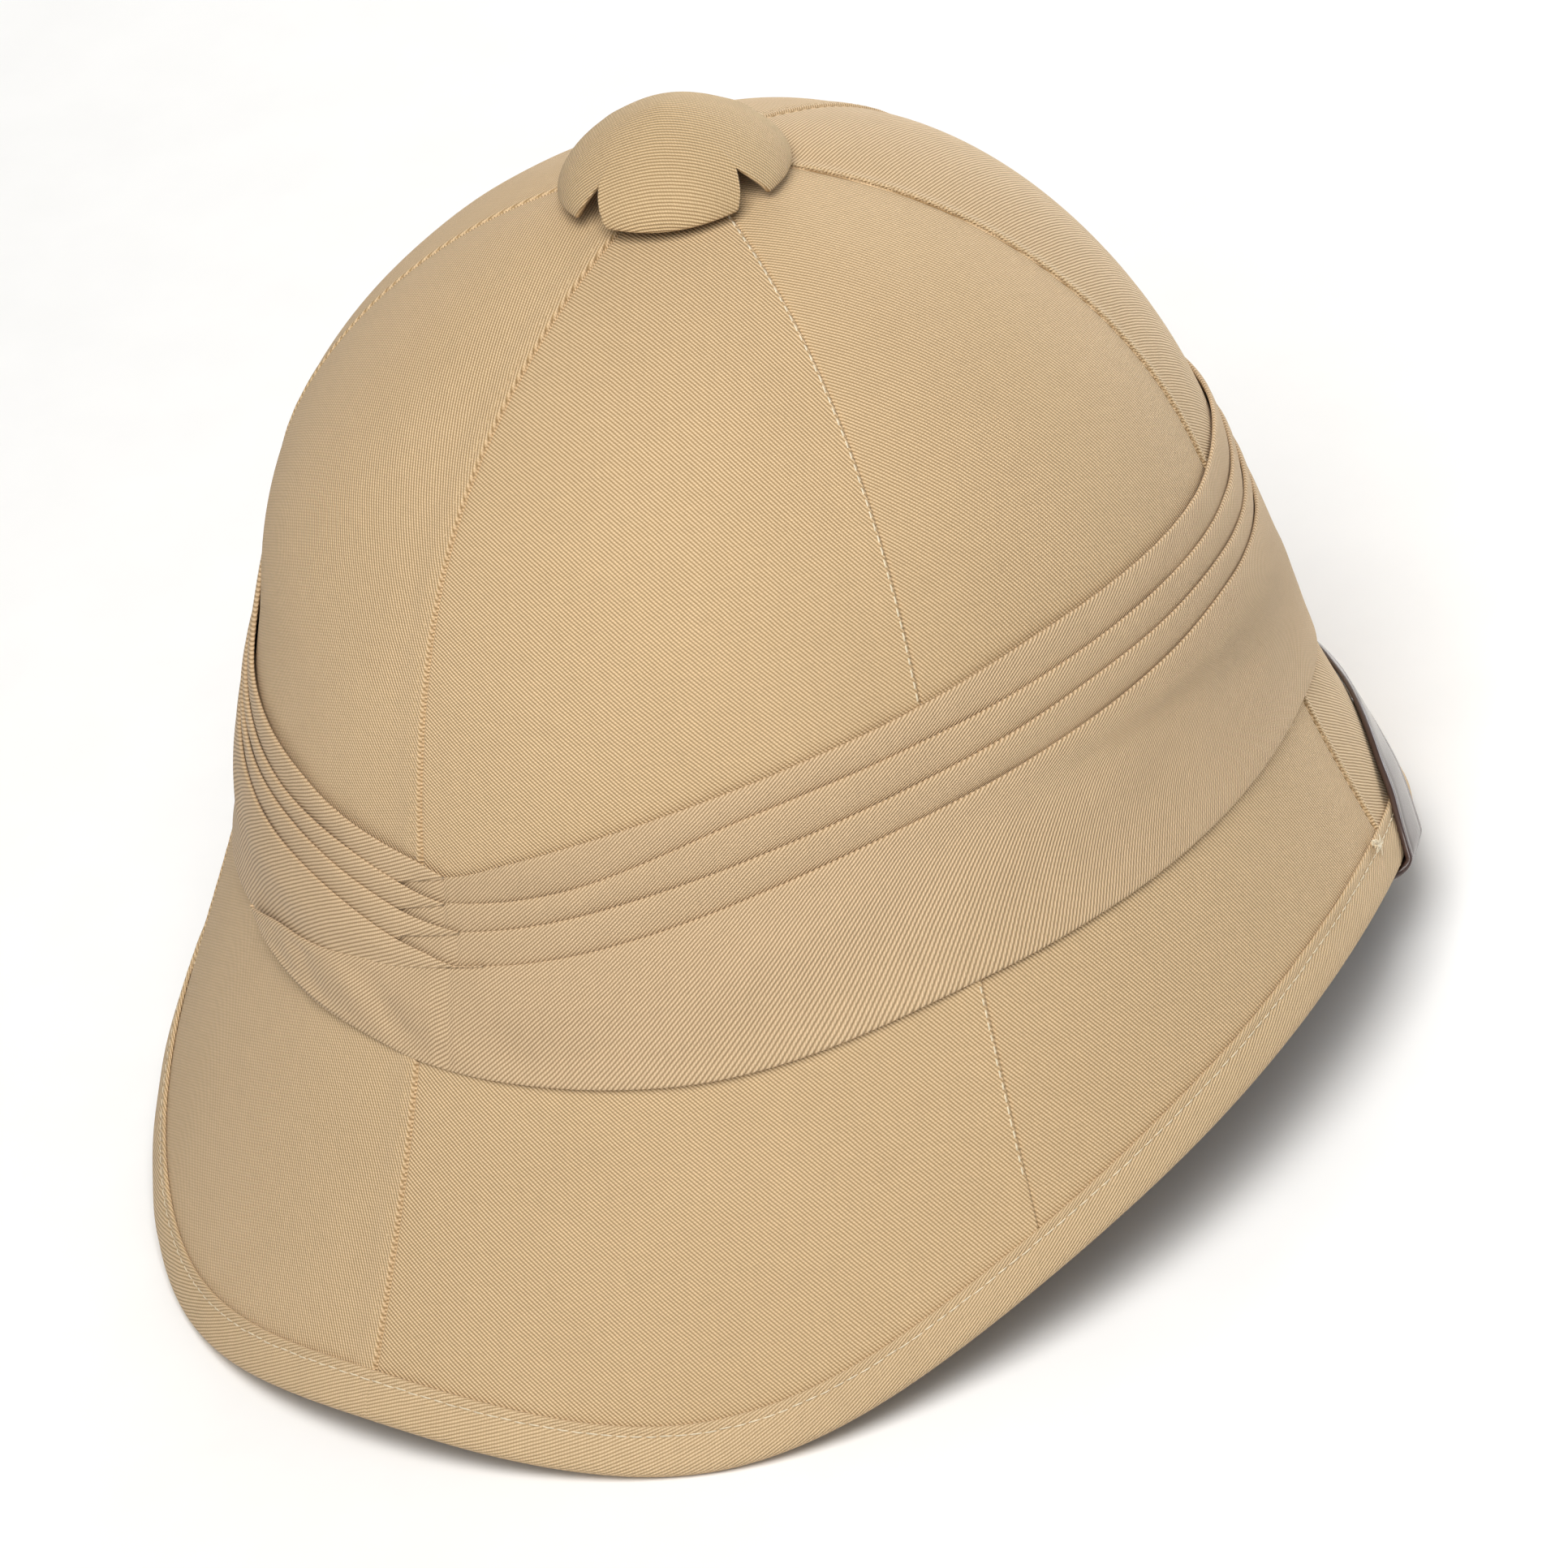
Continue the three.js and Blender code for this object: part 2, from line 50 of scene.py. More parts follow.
# set back, then reach and drop at rear, side and front
CROWN_ROWS = (
    (1.0, (0, 0, 0), (-0.047, -0.047, -0.047)),
    (0.333, (0.534, 0.533, 0.553), (0.193, 0.127, 0.075)),
    (0.4, (0.836, 0.939, 0.868), (0.519, 0.524, 0.566)),
    (0.267, (0.97, 1.0, 0.97), (0.991, 1.014, 1.0)),
    (0.0, (1.0, 1.0, 1.0), (1.259, 1.0, 1.184)),
)
BRIM_OUT = (0.29, 0.25, 0.29)
BRIM_DOWN = (0.42, 0.36, 0.33)
EDGE_REACH = (1, 0.987, 0.916, 0.845, 0.854, 0.926, 0.942)
EDGE_DROP = (1, 1.094, 0.9, 0.801, 0.768, 0.848, 0.815)
# how far the brim's edge lies inside that smooth line, every 10 degrees from the rear
EDGE_WAVE = (0.8, 1.5, 2.4, 1.7, 1.8, 2.6, 1.5, 0.4, -0.3, -0.4, -0.2, 0, 0, -0.1, -0.3, -0.3, -0.1,
             *[0] * 11, 0.2, 0.5, 0.7, 0.9, 0.5, 0.6, 0.7, 0.8)
REST_TILT = math.radians(10.17)
REST_SHIFT = np.array([0.0, -41.1156, 209.6142])
CAP_ORIGIN = np.array([0.0, 10.0, -2.2])
CAP_TILT = math.radians(-5.2)
# the side of each seam that its allowance is laid to
LAP_SIDE = {0: -1, 60: -1, 120: 1, 180: 1, 240: 1, 300: -1}
SEAMS = tuple(LAP_SIDE)
CLOTH_BULGE = 0.75
CROWN_SUNK = 0.95
# where the cloth has sunk on the wearer's left, or stands higher below 0: depth, row and half width in rows
LEFT_SUNK = ((1.15, 2.8, 0.33), (1.3, 4.4, 0.45), (-0.75, 2.1, 0.4))
# how far behind the middle the upright axis of the crown's base lies
CROWN_AXIS = 4.0


def spline_weights(u):
    v = 1 - u

    def near(t):
        return (3 * t**3 - 6 * t**2 + 4) / 6

    return np.stack([v**3 / 6, near(u), near(v), u**3 / 6])


def around(values, az):
    c = np.cos(np.radians(az))
    end = np.where(c >= 0, values[0], values[2])
    return values[1] + (end - values[1]) * c * c


def ring_value(values, az):
    """A smooth closed line past evenly spaced values, the first of them at the rear."""
    count = len(values)
    turn = np.mod(az, 360) / (360 / count)
    start = np.floor(turn).astype(int)
    ring = np.array(values, float)
    return sum(w * ring[(start + k - 1) % count] for k, w in enumerate(spline_weights(turn - start)))


def both_sides(stations):
    """Stations from rear to front, with the left as the right's mirror image."""
    return [*stations, *stations[-2:0:-1]]


def profile(az):
    """Reach, height and set-back of the nine control rows at each azimuth."""
    reach, z, back = [], [], []
    for set_back, reaches, drops in CROWN_ROWS:
        reach.append(around([s * b for s, b in zip(reaches, BASE)], az))
        z.append(-CROWN_DEPTH * around(drops, az))
        back.append(np.full_like(az, set_back * APEX_SET_BACK))
    edge_r = BRIM_REACH * ring_value(both_sides(EDGE_REACH), az) - ring_value(EDGE_WAVE, az)
    edge_z = -BRIM_DROP * ring_value(both_sides(EDGE_DROP), az)
    mid_r = reach[4] + (edge_r - reach[4]) * around(BRIM_OUT, az)
    mid_z = z[4] + (edge_z - z[4]) * around(BRIM_DOWN, az)
    zero = np.zeros_like(az)
    reach = [-reach[1], *reach, mid_r, edge_r, 2 * edge_r - mid_r]
    z = [z[1], *z, mid_z, edge_z, 2 * edge_z - mid_z]
    back = [back[1], *back, zero, zero, zero]
    return np.stack(reach), np.stack(z), np.stack(back)


def face(az, row):
    """Points of the body's outer face, run on straight past its edge."""
    az, row = np.broadcast_arrays(np.asarray(az, float), np.asarray(row, float))
    over = np.maximum(row - LAST_ROW, 0)
    reach, z, back = profile(az)

    def at(r):
        start = np.minimum(np.floor(r), LAST_ROW - 1).astype(int)
        w = spline_weights(r - start)
        far, up, shift = (sum(w[k] * np.take_along_axis(part, (start + k)[None], 0)[0] for k in range(4))
                          for part in (reach, z, back))
        a = np.radians(az)
        return np.stack([-far * np.sin(a), far * np.cos(a) + shift, up], -1)

    point = at(np.minimum(row, LAST_ROW))
    if (over > 0).any():
        step = 0.05
        slope = (at(np.full_like(row, LAST_ROW)) - at(np.full_like(row, LAST_ROW - step))) / step
        point = point + slope * over[..., None]
    return point


def unit(v):
    return v / np.maximum(np.linalg.norm(v, axis=-1, keepdims=True), 1e-12)

def frame_at(az, row):
    """The face's outward normal and its direction down the profile."""
    at = np.maximum(row, 0.05)
    down = unit(face(az, at + 0.02) - face(az, at - 0.02))
    sideways = unit(face(az + 0.5, at) - face(az - 0.5, at))
    return unit(np.cross(down, sideways)), down


def smoothstep(a, b, x):
    t = np.clip((x - a) / (b - a), 0, 1)
    return t * t * (3 - 2 * t)


def reach_of(az, row):
    """Distance from the upright axis in the middle of the crown."""
    p = face(az, row)
    return np.hypot(p[..., 0], p[..., 1] - CROWN_AXIS)


def rows_per_mm(az, row):
    d = np.linalg.norm(face(az, row + 0.05) - face(az, row - 0.05), axis=-1)
    return 0.1 / d


def run_along(points):
    """The length run at each point of a line."""
    return np.concatenate([[0], np.cumsum(np.linalg.norm(np.diff(points, axis=0), axis=1))])


def bulge(az, row):
    """How far the cloth stands over the shell's face: most between two seams, and less where it has sunk."""
    share = np.mod(az, 60) / 60
    begun = smoothstep(0.05, 0.6, row)
    crown = CLOTH_BULGE * begun * (1 - 0.75 * smoothstep(2.2, 3.6, row))
    brim = 1 - smoothstep(5.3, 5.75, row)
    turn = np.mod(az, 360)
    left = smoothstep(250, 285, turn) * (1 - smoothstep(328, 350, turn))
    sunk = CROWN_SUNK * begun * (1 - smoothstep(3.6, 4.5, row))
    sunk = sunk + left * sum(depth * np.exp(-(((row - at) / wide) ** 2)) for depth, at, wide in LEFT_SUNK)
    return crown * brim * (1 - np.abs(2 * share - 1) ** 2.4) - sunk


def lifted(az, row, lift):
    normal, _ = frame_at(az, row)
    return face(az, row) + normal * np.asarray(lift)[..., None]


def tilted(p, angle):
    """Points or directions turned about the X axis."""
    c, s = math.cos(angle), math.sin(angle)
    p = np.asarray(p, float)
    return np.stack([p[..., 0], c * p[..., 1] - s * p[..., 2], s * p[..., 1] + c * p[..., 2]], -1)


def to_rest(p):
    """Worn millimetres to metres in the rest frame."""
    return (tilted(p, REST_TILT) + REST_SHIFT) * 0.001


def noise_1d(x, period, seed, count=6):
    """Smooth repeatable noise along a closed line of the given period."""
    rng = np.random.default_rng(seed)
    out = np.zeros_like(x, float)
    for _ in range(count):
        n = rng.integers(2, 24)
        out += np.sin(2 * np.pi * (n * x / period + rng.random())) * rng.uniform(0.4, 1) / count**0.5
    return out

# Meshes
def add_object(name, data):
    obj = bpy.data.objects.new(name, data)
    bpy.context.scene.collection.objects.link(obj)
    return obj


def make_mesh(name, points, faces, uv=None):
    """A mesh object. uv holds one pair of millimetres for each face corner or for each vertex."""
    mesh = bpy.data.meshes.new(name)
    mesh.from_pydata(np.asarray(points).tolist(), [], [list(map(int, f)) for f in faces])
    mesh.update()
    if uv is not None:
        layer = mesh.uv_layers.new(name="cloth")
        loops = np.zeros(len(mesh.loops), int)
        mesh.loops.foreach_get("vertex_index", loops)
        uv = np.asarray(uv, float)
        corner = uv[loops] if len(uv) == len(points) else uv
        layer.uv.foreach_set("vector", corner.astype(np.float32).ravel())
    mesh.polygons.foreach_set("use_smooth", [True] * len(mesh.polygons))
    return add_object(name, mesh)


def grid_faces(rows, cols, closed=False):
    """Quads of a grid of points whose columns join round; its rows join too where it is closed."""
    i, j = np.meshgrid(np.arange(rows if closed else rows - 1), np.arange(cols), indexing="ij")
    next_i, next_j = (i + 1) % rows, (j + 1) % cols
    quads = np.stack([i * cols + j, next_i * cols + j, next_i * cols + next_j, i * cols + next_j], -1)
    return quads.reshape(-1, 4)


def signed_volume(points, faces):
    p = np.asarray(points)
    total = 0.0
    for f in (np.asarray(faces)[:, [0, 1, 2]], np.asarray(faces)[:, [0, 2, 3]]):
        total += np.einsum("ij,ij->i", p[f[:, 0]], np.cross(p[f[:, 1]], p[f[:, 2]])).sum()
    return total / 6

def sweep(lines):
    """Points and faces of a solid between lines that lie side by side round its section, its ends closed."""
    points = np.stack(lines, 1)
    n, m = points.shape[:2]
    flat, quads = points.reshape(-1, 3), grid_faces(n, m)
    faces = [*quads, np.arange(m)[::-1], np.arange((n - 1) * m, n * m)]
    if signed_volume(flat - flat.mean(0), quads) < 0:
        faces = [f[::-1] for f in faces]
    return flat, faces


def gather(name, solids, uv=None):
    """One mesh object of several solids, each given as points and faces."""
    faces, count = [], 0
    for points, its_faces in solids:
        faces += [np.add(f, count) for f in its_faces]
        count += len(points)
    return make_mesh(name, to_rest(np.concatenate([points for points, _ in solids])), faces, uv)


# The cover of six panels
SIDE_STEPS = np.array([0, 0.14, 0.3, 0.5, 0.8, 1.2, 1.8, 2.6, 3.6, 5.0, 6.8])
MID_COLUMNS = 48
# direction of the twill's ribs in each panel, in degrees down to the right of its middle line
PANEL_TURN = {30: 47.2, 90: 61.8, 150: 50.0, 210: 47.0, 270: 52.0, 330: 45.0}
TWILL_TURN = 47.2
# each panel's cloth is cut from its own place
PANEL_SHIFT = 37.0


def panel_columns(row, seam_a):
    """Azimuths across one panel from seam to seam, the last one left out, dense beside both seams."""
    width = math.radians(60) * max(reach_of(seam_a + 30, max(row, 0.05)), 0.5)
    scale = min(1.0, 0.2 * width / SIDE_STEPS[-1])
    near = SIDE_STEPS * scale / width
    middle = np.linspace(near[-1], 1 - near[-1], MID_COLUMNS + 2)[1:-1]
    return seam_a + 60 * np.concatenate([near, middle, (1 - near[1:])[::-1]])


def seam_relief(az, row):
    """The seam's groove and its allowance beside it, flattened where the band covers them."""
    index = np.round(az / 60).astype(int)
    seam = index * 60.0
    side = np.array([LAP_SIDE[s] for s in SEAMS])[index % 6]
    beside = np.radians(az - seam) * reach_of(az, row) * side
    bold = [seam % 360 == 0, seam == 120, seam == 300]
    ridge = np.select(bold, [0.55, 0.5, 0.3], 0.42)
    fall = np.where(seam == 120, 3.2, 7.5)
    lap = ridge * smoothstep(-0.12, 0.22, beside) * (1 - smoothstep(0.25 * fall, fall, beside))
    lap = lap + 0.12 * np.exp(-((beside - 0.55) / 0.5) ** 2)
    groove = -np.select(bold, [0.6, 0.5, 0.2], 0.3) * np.exp(-(((beside + 0.24) / 0.26) ** 2))
    top, bottom = band_top_at(az), band_bottom_at(az)
    covered = smoothstep(top - 0.03, top + 0.05, row) * (1 - smoothstep(bottom - 0.06, bottom, row))
    return (lap + groove) * smoothstep(0.15, 0.5, row) * np.where(covered < 0.5, 1, 0.25)


def line(points):
    """A smooth line through points given as (azimuth, row)."""
    pts = np.array(sorted(points), float)
    x, y = pts[:, 0], pts[:, 1]
    slope = np.diff(y) / np.diff(x)
    m = np.zeros_like(y)
    h = np.diff(x)
    m[1:-1] = (slope[:-1] * h[1:] + slope[1:] * h[:-1]) / (h[1:] + h[:-1])
    m[0], m[-1] = slope[0], slope[-1]

    def at(q):
        q = np.asarray(q, float)
        k = np.clip(np.searchsorted(x, q, side="right") - 1, 0, len(x) - 2)
        t = np.clip((q - x[k]) / h[k], 0, 1)
        a, b = 2 * t**3 - 3 * t**2 + 1, t**3 - 2 * t**2 + t
        c, d = 3 * t**2 - 2 * t**3, t**3 - t**2
        return a * y[k] + b * h[k] * m[k] + c * y[k + 1] + d * h[k] * m[k + 1]

    return at


# The band's lines, as (azimuth, row)
# Azimuth runs from the rear round the wearer's right, over the front at 180 and back to 360 and past.
TOP = {
    1: [(3.5, 3.475), (5, 3.455), (11, 3.33), (20.5, 3.15), (31.5, 2.97), (45, 2.79), (59.5, 2.64),
        (74, 2.51), (88.5, 2.45), (99, 2.43), (117, 2.41), (130, 2.38), (150, 2.4), (180, 2.42), (210, 2.4),
        (240, 2.4), (270, 2.42), (290, 2.5), (300, 2.6), (307, 2.76), (313, 2.92), (318, 3.03),
        (323.5, 3.1), (329, 3.14), (335, 3.175), (339.5, 3.21), (344, 3.26), (349, 3.31), (355, 3.365),
        (360.5, 3.425), (363.5, 3.475)],
    2: [(3.5, 3.65), (13.5, 3.54), (20.5, 3.43), (27.5, 3.28), (36.5, 3.09), (45.5, 2.96), (55, 2.86),
        (68, 2.75), (82, 2.66), (95, 2.61), (110, 2.59), (120.5, 2.59), (150, 2.58), (180, 2.6),
        (210, 2.58), (240, 2.58), (270, 2.61), (290, 2.72), (300, 2.86), (307, 3.02), (313, 3.16),
        (319, 3.28), (325, 3.35), (331, 3.39), (336, 3.42), (343, 3.45), (349, 3.495), (355.5, 3.57),
        (360.5, 3.63), (363.5, 3.65)],
    3: [(5.5, 3.82), (15, 3.71), (30, 3.49), (45, 3.26), (54, 3.13), (68, 2.97), (80.5, 2.85), (95, 2.78),
        (108.5, 2.75), (121.5, 2.77), (150, 2.76), (180, 2.78), (210, 2.76), (240, 2.77), (270, 2.79),
        (290, 2.93), (300, 3.09), (308, 3.29), (315, 3.43), (321, 3.51), (327, 3.55), (333, 3.565),
        (338.5, 3.585), (343.5, 3.62), (353, 3.72), (358.5, 3.785), (365.5, 3.82)],
    4: [(4.5, 4.04), (15, 3.95), (30, 3.78), (45, 3.59), (53.5, 3.48), (68, 3.3), (79.5, 3.15),
        (91.5, 3.03), (109, 2.93), (121, 2.94), (150, 2.96), (180, 2.98), (210, 2.96), (240, 2.95),
        (270, 3.03), (290, 3.24), (300, 3.42), (308, 3.6), (315, 3.73), (321, 3.78), (327.5, 3.79),
        (334, 3.795), (341.5, 3.81), (347, 3.845), (352, 3.9), (357, 3.965), (361, 4.0), (365, 4.035),
        (368.5, 4.0)],
}
# The lower edge of each left strip where it tapers to its tip over the right strip.
TIP = {
    1: [(357.5, 3.59), (363.5, 3.485)],
    2: [(357.5, 3.77), (363.5, 3.66)],
    3: [(357.5, 3.95), (365.5, 3.83)],
    4: [(329.5, 4.52), (337, 4.37), (343.5, 4.3), (350, 4.23), (356, 4.16), (361, 4.095), (364, 4.055),
        (368.5, 4.01)],
}
BOTTOM = [
    (-30.5, 4.5), (-24.5, 4.53), (-19, 4.54), (-13.5, 4.555), (-8, 4.565), (-4, 4.585), (0, 4.61),
    (4, 4.62), (16, 4.64), (23, 4.66), (32, 4.70), (42, 4.75), (54, 4.82), (68.5, 4.93), (83.5, 5.0),
    (100, 4.99), (118.5, 4.90), (135, 4.84), (150, 4.8), (180, 4.78), (210, 4.8), (240, 4.88), (270, 5.0),
    (285, 4.97), (300, 4.87), (315, 4.72), (322, 4.62), (329.5, 4.52),
]
top_line = {k: line(v) for k, v in TOP.items()}
tip_line = {k: line(v) for k, v in TIP.items()}
bottom_line = line(BOTTOM)
RIGHT_START = {k: v[0][0] for k, v in TOP.items()}
LEFT_END = {k: v[-1][0] for k, v in TOP.items()}
TIP_START = {k: v[0][0] for k, v in TIP.items()}
TONGUE_START = {1: -3.2, 2: -3.2, 3: -3.4, 4: -31}
STRIP_RISE = 0.62
STRIP_BASE = 0.5
CROSSING_RISE = 0.35


def band_top_at(az):
    """Row of the band's top edge at any azimuth, for the cover beneath it."""
    a = np.mod(az, 360)
    return np.where(a < RIGHT_START[1], top_line[1](a + 360), top_line[1](a))


def band_bottom_at(az):
    a = np.mod(az, 360)
    return np.where(a > TIP_START[4], bottom_line(a - 360), bottom_line(a))


def dot(a, b):
    return (a * b).sum(-1)


def bends(run, normal):
    """The angle between each two steps of a line, seen down on the cloth."""
    return np.arctan2(-dot(normal[1:-1], np.cross(run[:-1], run[1:])), dot(run[:-1], run[1:]))


def walk(run, heading):
    """Flat places reached by steps of these lengths in these directions."""
    size = np.linalg.norm(run, axis=-1)
    return np.cumsum(np.stack([size * np.cos(heading), size * np.sin(heading)], -1), axis=0)


def lay_flat(centre, rows):
    """A panel laid flat: its middle line, then each level line, both bent only as they bend within the cloth.

    Gives the flat place in millimetres of every degree from 30 before the middle to 30 past it, in each row.
    """
    fine = np.linspace(0.02, LAST_ROW, 300)
    run = np.diff(face(centre, fine), axis=0)
    heading = math.pi / 2 + np.concatenate([[0], np.cumsum(bends(run, frame_at(centre, fine)[0]))])
    place = walk(run, heading)
    start = np.stack([np.interp(rows, fine[1:], place[:, i]) for i in (0, 1)], -1)
    heading = np.interp(rows, (fine[1:] + fine[:-1]) / 2, heading)

    az, row = np.broadcast_arrays(centre + np.linspace(-30, 30, 61)[:, None], np.maximum(rows, 0.02))
    points = face(az, row)
    normal, down = frame_at(az, row)
    run = np.diff(points, axis=0)
    turned = np.concatenate([np.zeros((1, len(rows))), np.cumsum(bends(run, normal), axis=0)])
    level = points[31] - points[29]
    to_down = np.arctan2(-dot(normal[30], np.cross(level, down[30])), dot(level, down[30]))
    turned += heading - to_down - (turned[29] + turned[30]) / 2
    flat = np.concatenate([np.zeros((1, len(rows), 2)), walk(run, turned)])
    return flat - flat[30] + start


def cover_lift(az, row):
    """How far the cover's outer face stands over the shell, with its seams and their pucker."""
    index = np.round(az / 60).astype(int)
    gap = np.radians(az - index * 60.0) * reach_of(az, row)
    pucker = np.sin(face(az, row)[..., 2] * 2.4 + index * 2.1) * np.exp(-((np.abs(gap) - 1.0) / 1.2) ** 2)
    uneven = noise_1d(az + 11 * row, 360, 3) * smoothstep(0.5, 1.5, row) * (1 - smoothstep(5.2, 5.7, row))
    return bulge(az, row) + seam_relief(az, row) + 0.035 * pucker * smoothstep(0.4, 0.9, row) + 0.1 * uneven


def panel_cloth(rows, per_panel):
    """Each panel's own flat cloth: a place for every row, panel and column, both seams included."""
    flat = np.zeros((len(rows), 6, per_panel + 1, 2))
    for p, seam in enumerate(SEAMS):
        sheet = lay_flat(seam + 30, rows)
        turn = math.radians(PANEL_TURN[seam + 30] - TWILL_TURN)
        c, s = math.cos(turn), math.sin(turn)
        for r, row in enumerate(rows):
            at = np.append(panel_columns(row, seam), seam + 60.0) - seam
            u, v = (np.interp(at, np.arange(61), sheet[:, r, i]) for i in (0, 1))
            flat[r, p, :, 0] = c * u + s * v + PANEL_SHIFT * p
            flat[r, p, :, 1] = c * v - s * u
    return flat


def build_cover():
    spans = ((0.03, 0.5, 10), (0.5, 2.4, 50), (2.4, 4.2, 30), (4.2, 5.8, 52))
    outer_rows = [*(r for span in spans for r in np.linspace(*span, endpoint=False)), *np.linspace(5.8, 6.0, 5)]
    inner_rows = [6, 5.9, 5.75, 5.55, *np.arange(53, 20, -3) / 10, 2.0, 1.75, 1.5, 1.25, 1.0, 0.8, 0.6, 0.45, 0.3,
                  0.18, 0.08]
    all_rows = np.array(outer_rows + inner_rows)
    n_out, n_all = len(outer_rows), len(all_rows)
    per_panel = len(panel_columns(3, 0))
    cols = per_panel * 6
    az = np.stack([np.concatenate([panel_columns(r, s) for s in SEAMS]) for r in all_rows])
    row = np.repeat(all_rows[:, None], cols, 1)
    inside_lift = 0.25 * (1 - smoothstep(6.0, 5.9, row[n_out:])) - BODY_WALL
    lift = np.concatenate([cover_lift(az[:n_out], row[:n_out]), inside_lift])
    top = face(0, 0)
    pts = np.concatenate([lifted(az, row, lift).reshape(-1, 3), [top, top - [0, 0, BODY_WALL]]])
    apex, nadir = len(pts) - 2, len(pts) - 1
    # the outer and the inner face meet along the rim, so one grid holds both
    quads = grid_faces(n_all, cols)
    j = np.arange(cols)
    k = (j + 1) % cols
    end = (n_all - 1) * cols
    tris = [[apex, a, b] for a, b in zip(j, k)] + [[nadir, b, a] for a, b in zip(end + j, end + k)]
    # the cloth's corners, face by face, so that two panels differ at their seam
    flat = panel_cloth(all_rows, per_panel)
    left, right = flat[:, :, :-1].reshape(-1, cols, 2), flat[:, :, 1:].reshape(-1, cols, 2)
    quad_uv = np.stack([left[:-1], left[1:], right[1:], right[:-1]], -2).reshape(-1, 4, 2)
    tip = np.repeat([[PANEL_SHIFT * p, 0.0] for p in range(6)], per_panel, 0)
    tri_uv = np.concatenate([np.stack([tip, left[0], right[0]], 1), np.stack([tip, right[-1], left[-1]], 1)])
    if signed_volume(pts, quads) < 0:
        quads, tris = quads[:, ::-1], [t[::-1] for t in tris]
        quad_uv, tri_uv = quad_uv[:, ::-1], tri_uv[:, ::-1]
    corner_uv = np.concatenate([quad_uv.reshape(-1, 2), tri_uv.reshape(-1, 2)])
    return make_mesh("helmet_cover", to_rest(pts), [*quads, *tris], corner_uv)


# The puggaree
# creases of the wide fold: azimuth, row, half length, half width (millimetres), turn in degrees, height
CREASES = (
    (-16, 4.42, 9, 2.6, 20, -0.8), (-9, 4.36, 10, 2.4, 28, 0.5), (-3, 4.44, 9, 2.6, 35, -0.8),
    (4, 4.5, 9, 2.4, 30, 0.4), (-22, 4.46, 6, 2.2, 8, -0.5), (10, 4.42, 12, 4, 30, -0.5),
    (24, 4.3, 18, 5, -14, -0.35), (38, 4.2, 22, 6, -16, 0.35), (60, 4.1, 26, 7, -12, -0.3),
    (84, 4.2, 22, 6, -6, 0.35), (104, 4.15, 16, 5, 4, -0.35), (150, 4.0, 25, 7, 4, 0.3),
    (200, 4.1, 24, 6, -5, -0.35), (240, 4.1, 20, 6, 8, 0.35), (275, 4.2, 20, 6, 10, -0.35),
    (305, 4.1, 20, 5, 16, 0.35), (322, 4.1, 14, 4, 18, -0.4), (340, 4.1, 12, 3.5, 12, 0.3),
)
BAND_RADIUS = 112
ROW_LENGTH = 28
FOLD_WIDTH = 28
STRIP_SHIFT = 11.3
# rings of a fold's section: share of the way down it, millimetres further down, share of its thickness, puff
TOP_EDGE = [(0, 0.0, 0.5, 0), (0, 0.06, 0.72, 0), (0, 0.2, 0.92, 0)]
BACK_EDGE = [(0, 0.5, 0, 0), (0, 0.2, 0.06, 0), (0, 0.06, 0.25, 0)]
PLEAT = TOP_EDGE + [
    (0, 0.45, 1.0, 0.2), (0, 0.9, 0.98, 0.6), (0.3, 0.6, 0.93, 1), (0.5, 0.3, 0.86, 0.95),
    (0.7, 0, 0.78, 0.7), (0.88, 0, 0.68, 0.3), (1, -0.1, 0.58, 0), (1, 0.5, 0.5, 0), (1, 1.5, 0.45, 0),
    (1, 1.5, 0, 0), (1, 0.5, 0, 0), (0.5, 0, 0, 0)] + BACK_EDGE
WIDE_FOLD = TOP_EDGE + [(0, 0.5, 1.0, 0.05)] + [
    (s, 0.5 * (1 - s), 1.0, math.sin(math.pi * s**0.8) ** 0.8) for s in np.linspace(0.02, 0.96, 40)] + [
    (1, -0.45, 0.95, 0), (1, -0.18, 0.85, 0), (1, -0.04, 0.65, 0), (1, 0.0, 0.5, 0), (1, -0.06, 0.22, 0),
    (1, -0.3, 0.02, 0), (1, -1.2, 0, 0), (0.75, 0, 0, 0), (0.5, 0, 0, 0), (0.25, 0, 0, 0)] + BACK_EDGE


def dents(az, row):
    """Soft dents and creases of the wide fold, in millimetres over its smooth face."""
    out = 0.21 * noise_1d(az + 9 * row, 360, 11, 7)
    for a0, r0, length, width, turn, height in CREASES:
        x = np.radians(np.mod(az - a0 + 180, 360) - 180) * BAND_RADIUS
        y = (row - r0) * ROW_LENGTH
        c, s = math.cos(math.radians(turn)), math.sin(math.radians(turn))
        out = out + height * np.exp(-(((c * x + s * y) / length) ** 2) - ((c * y - s * x) / width) ** 2)
    return out


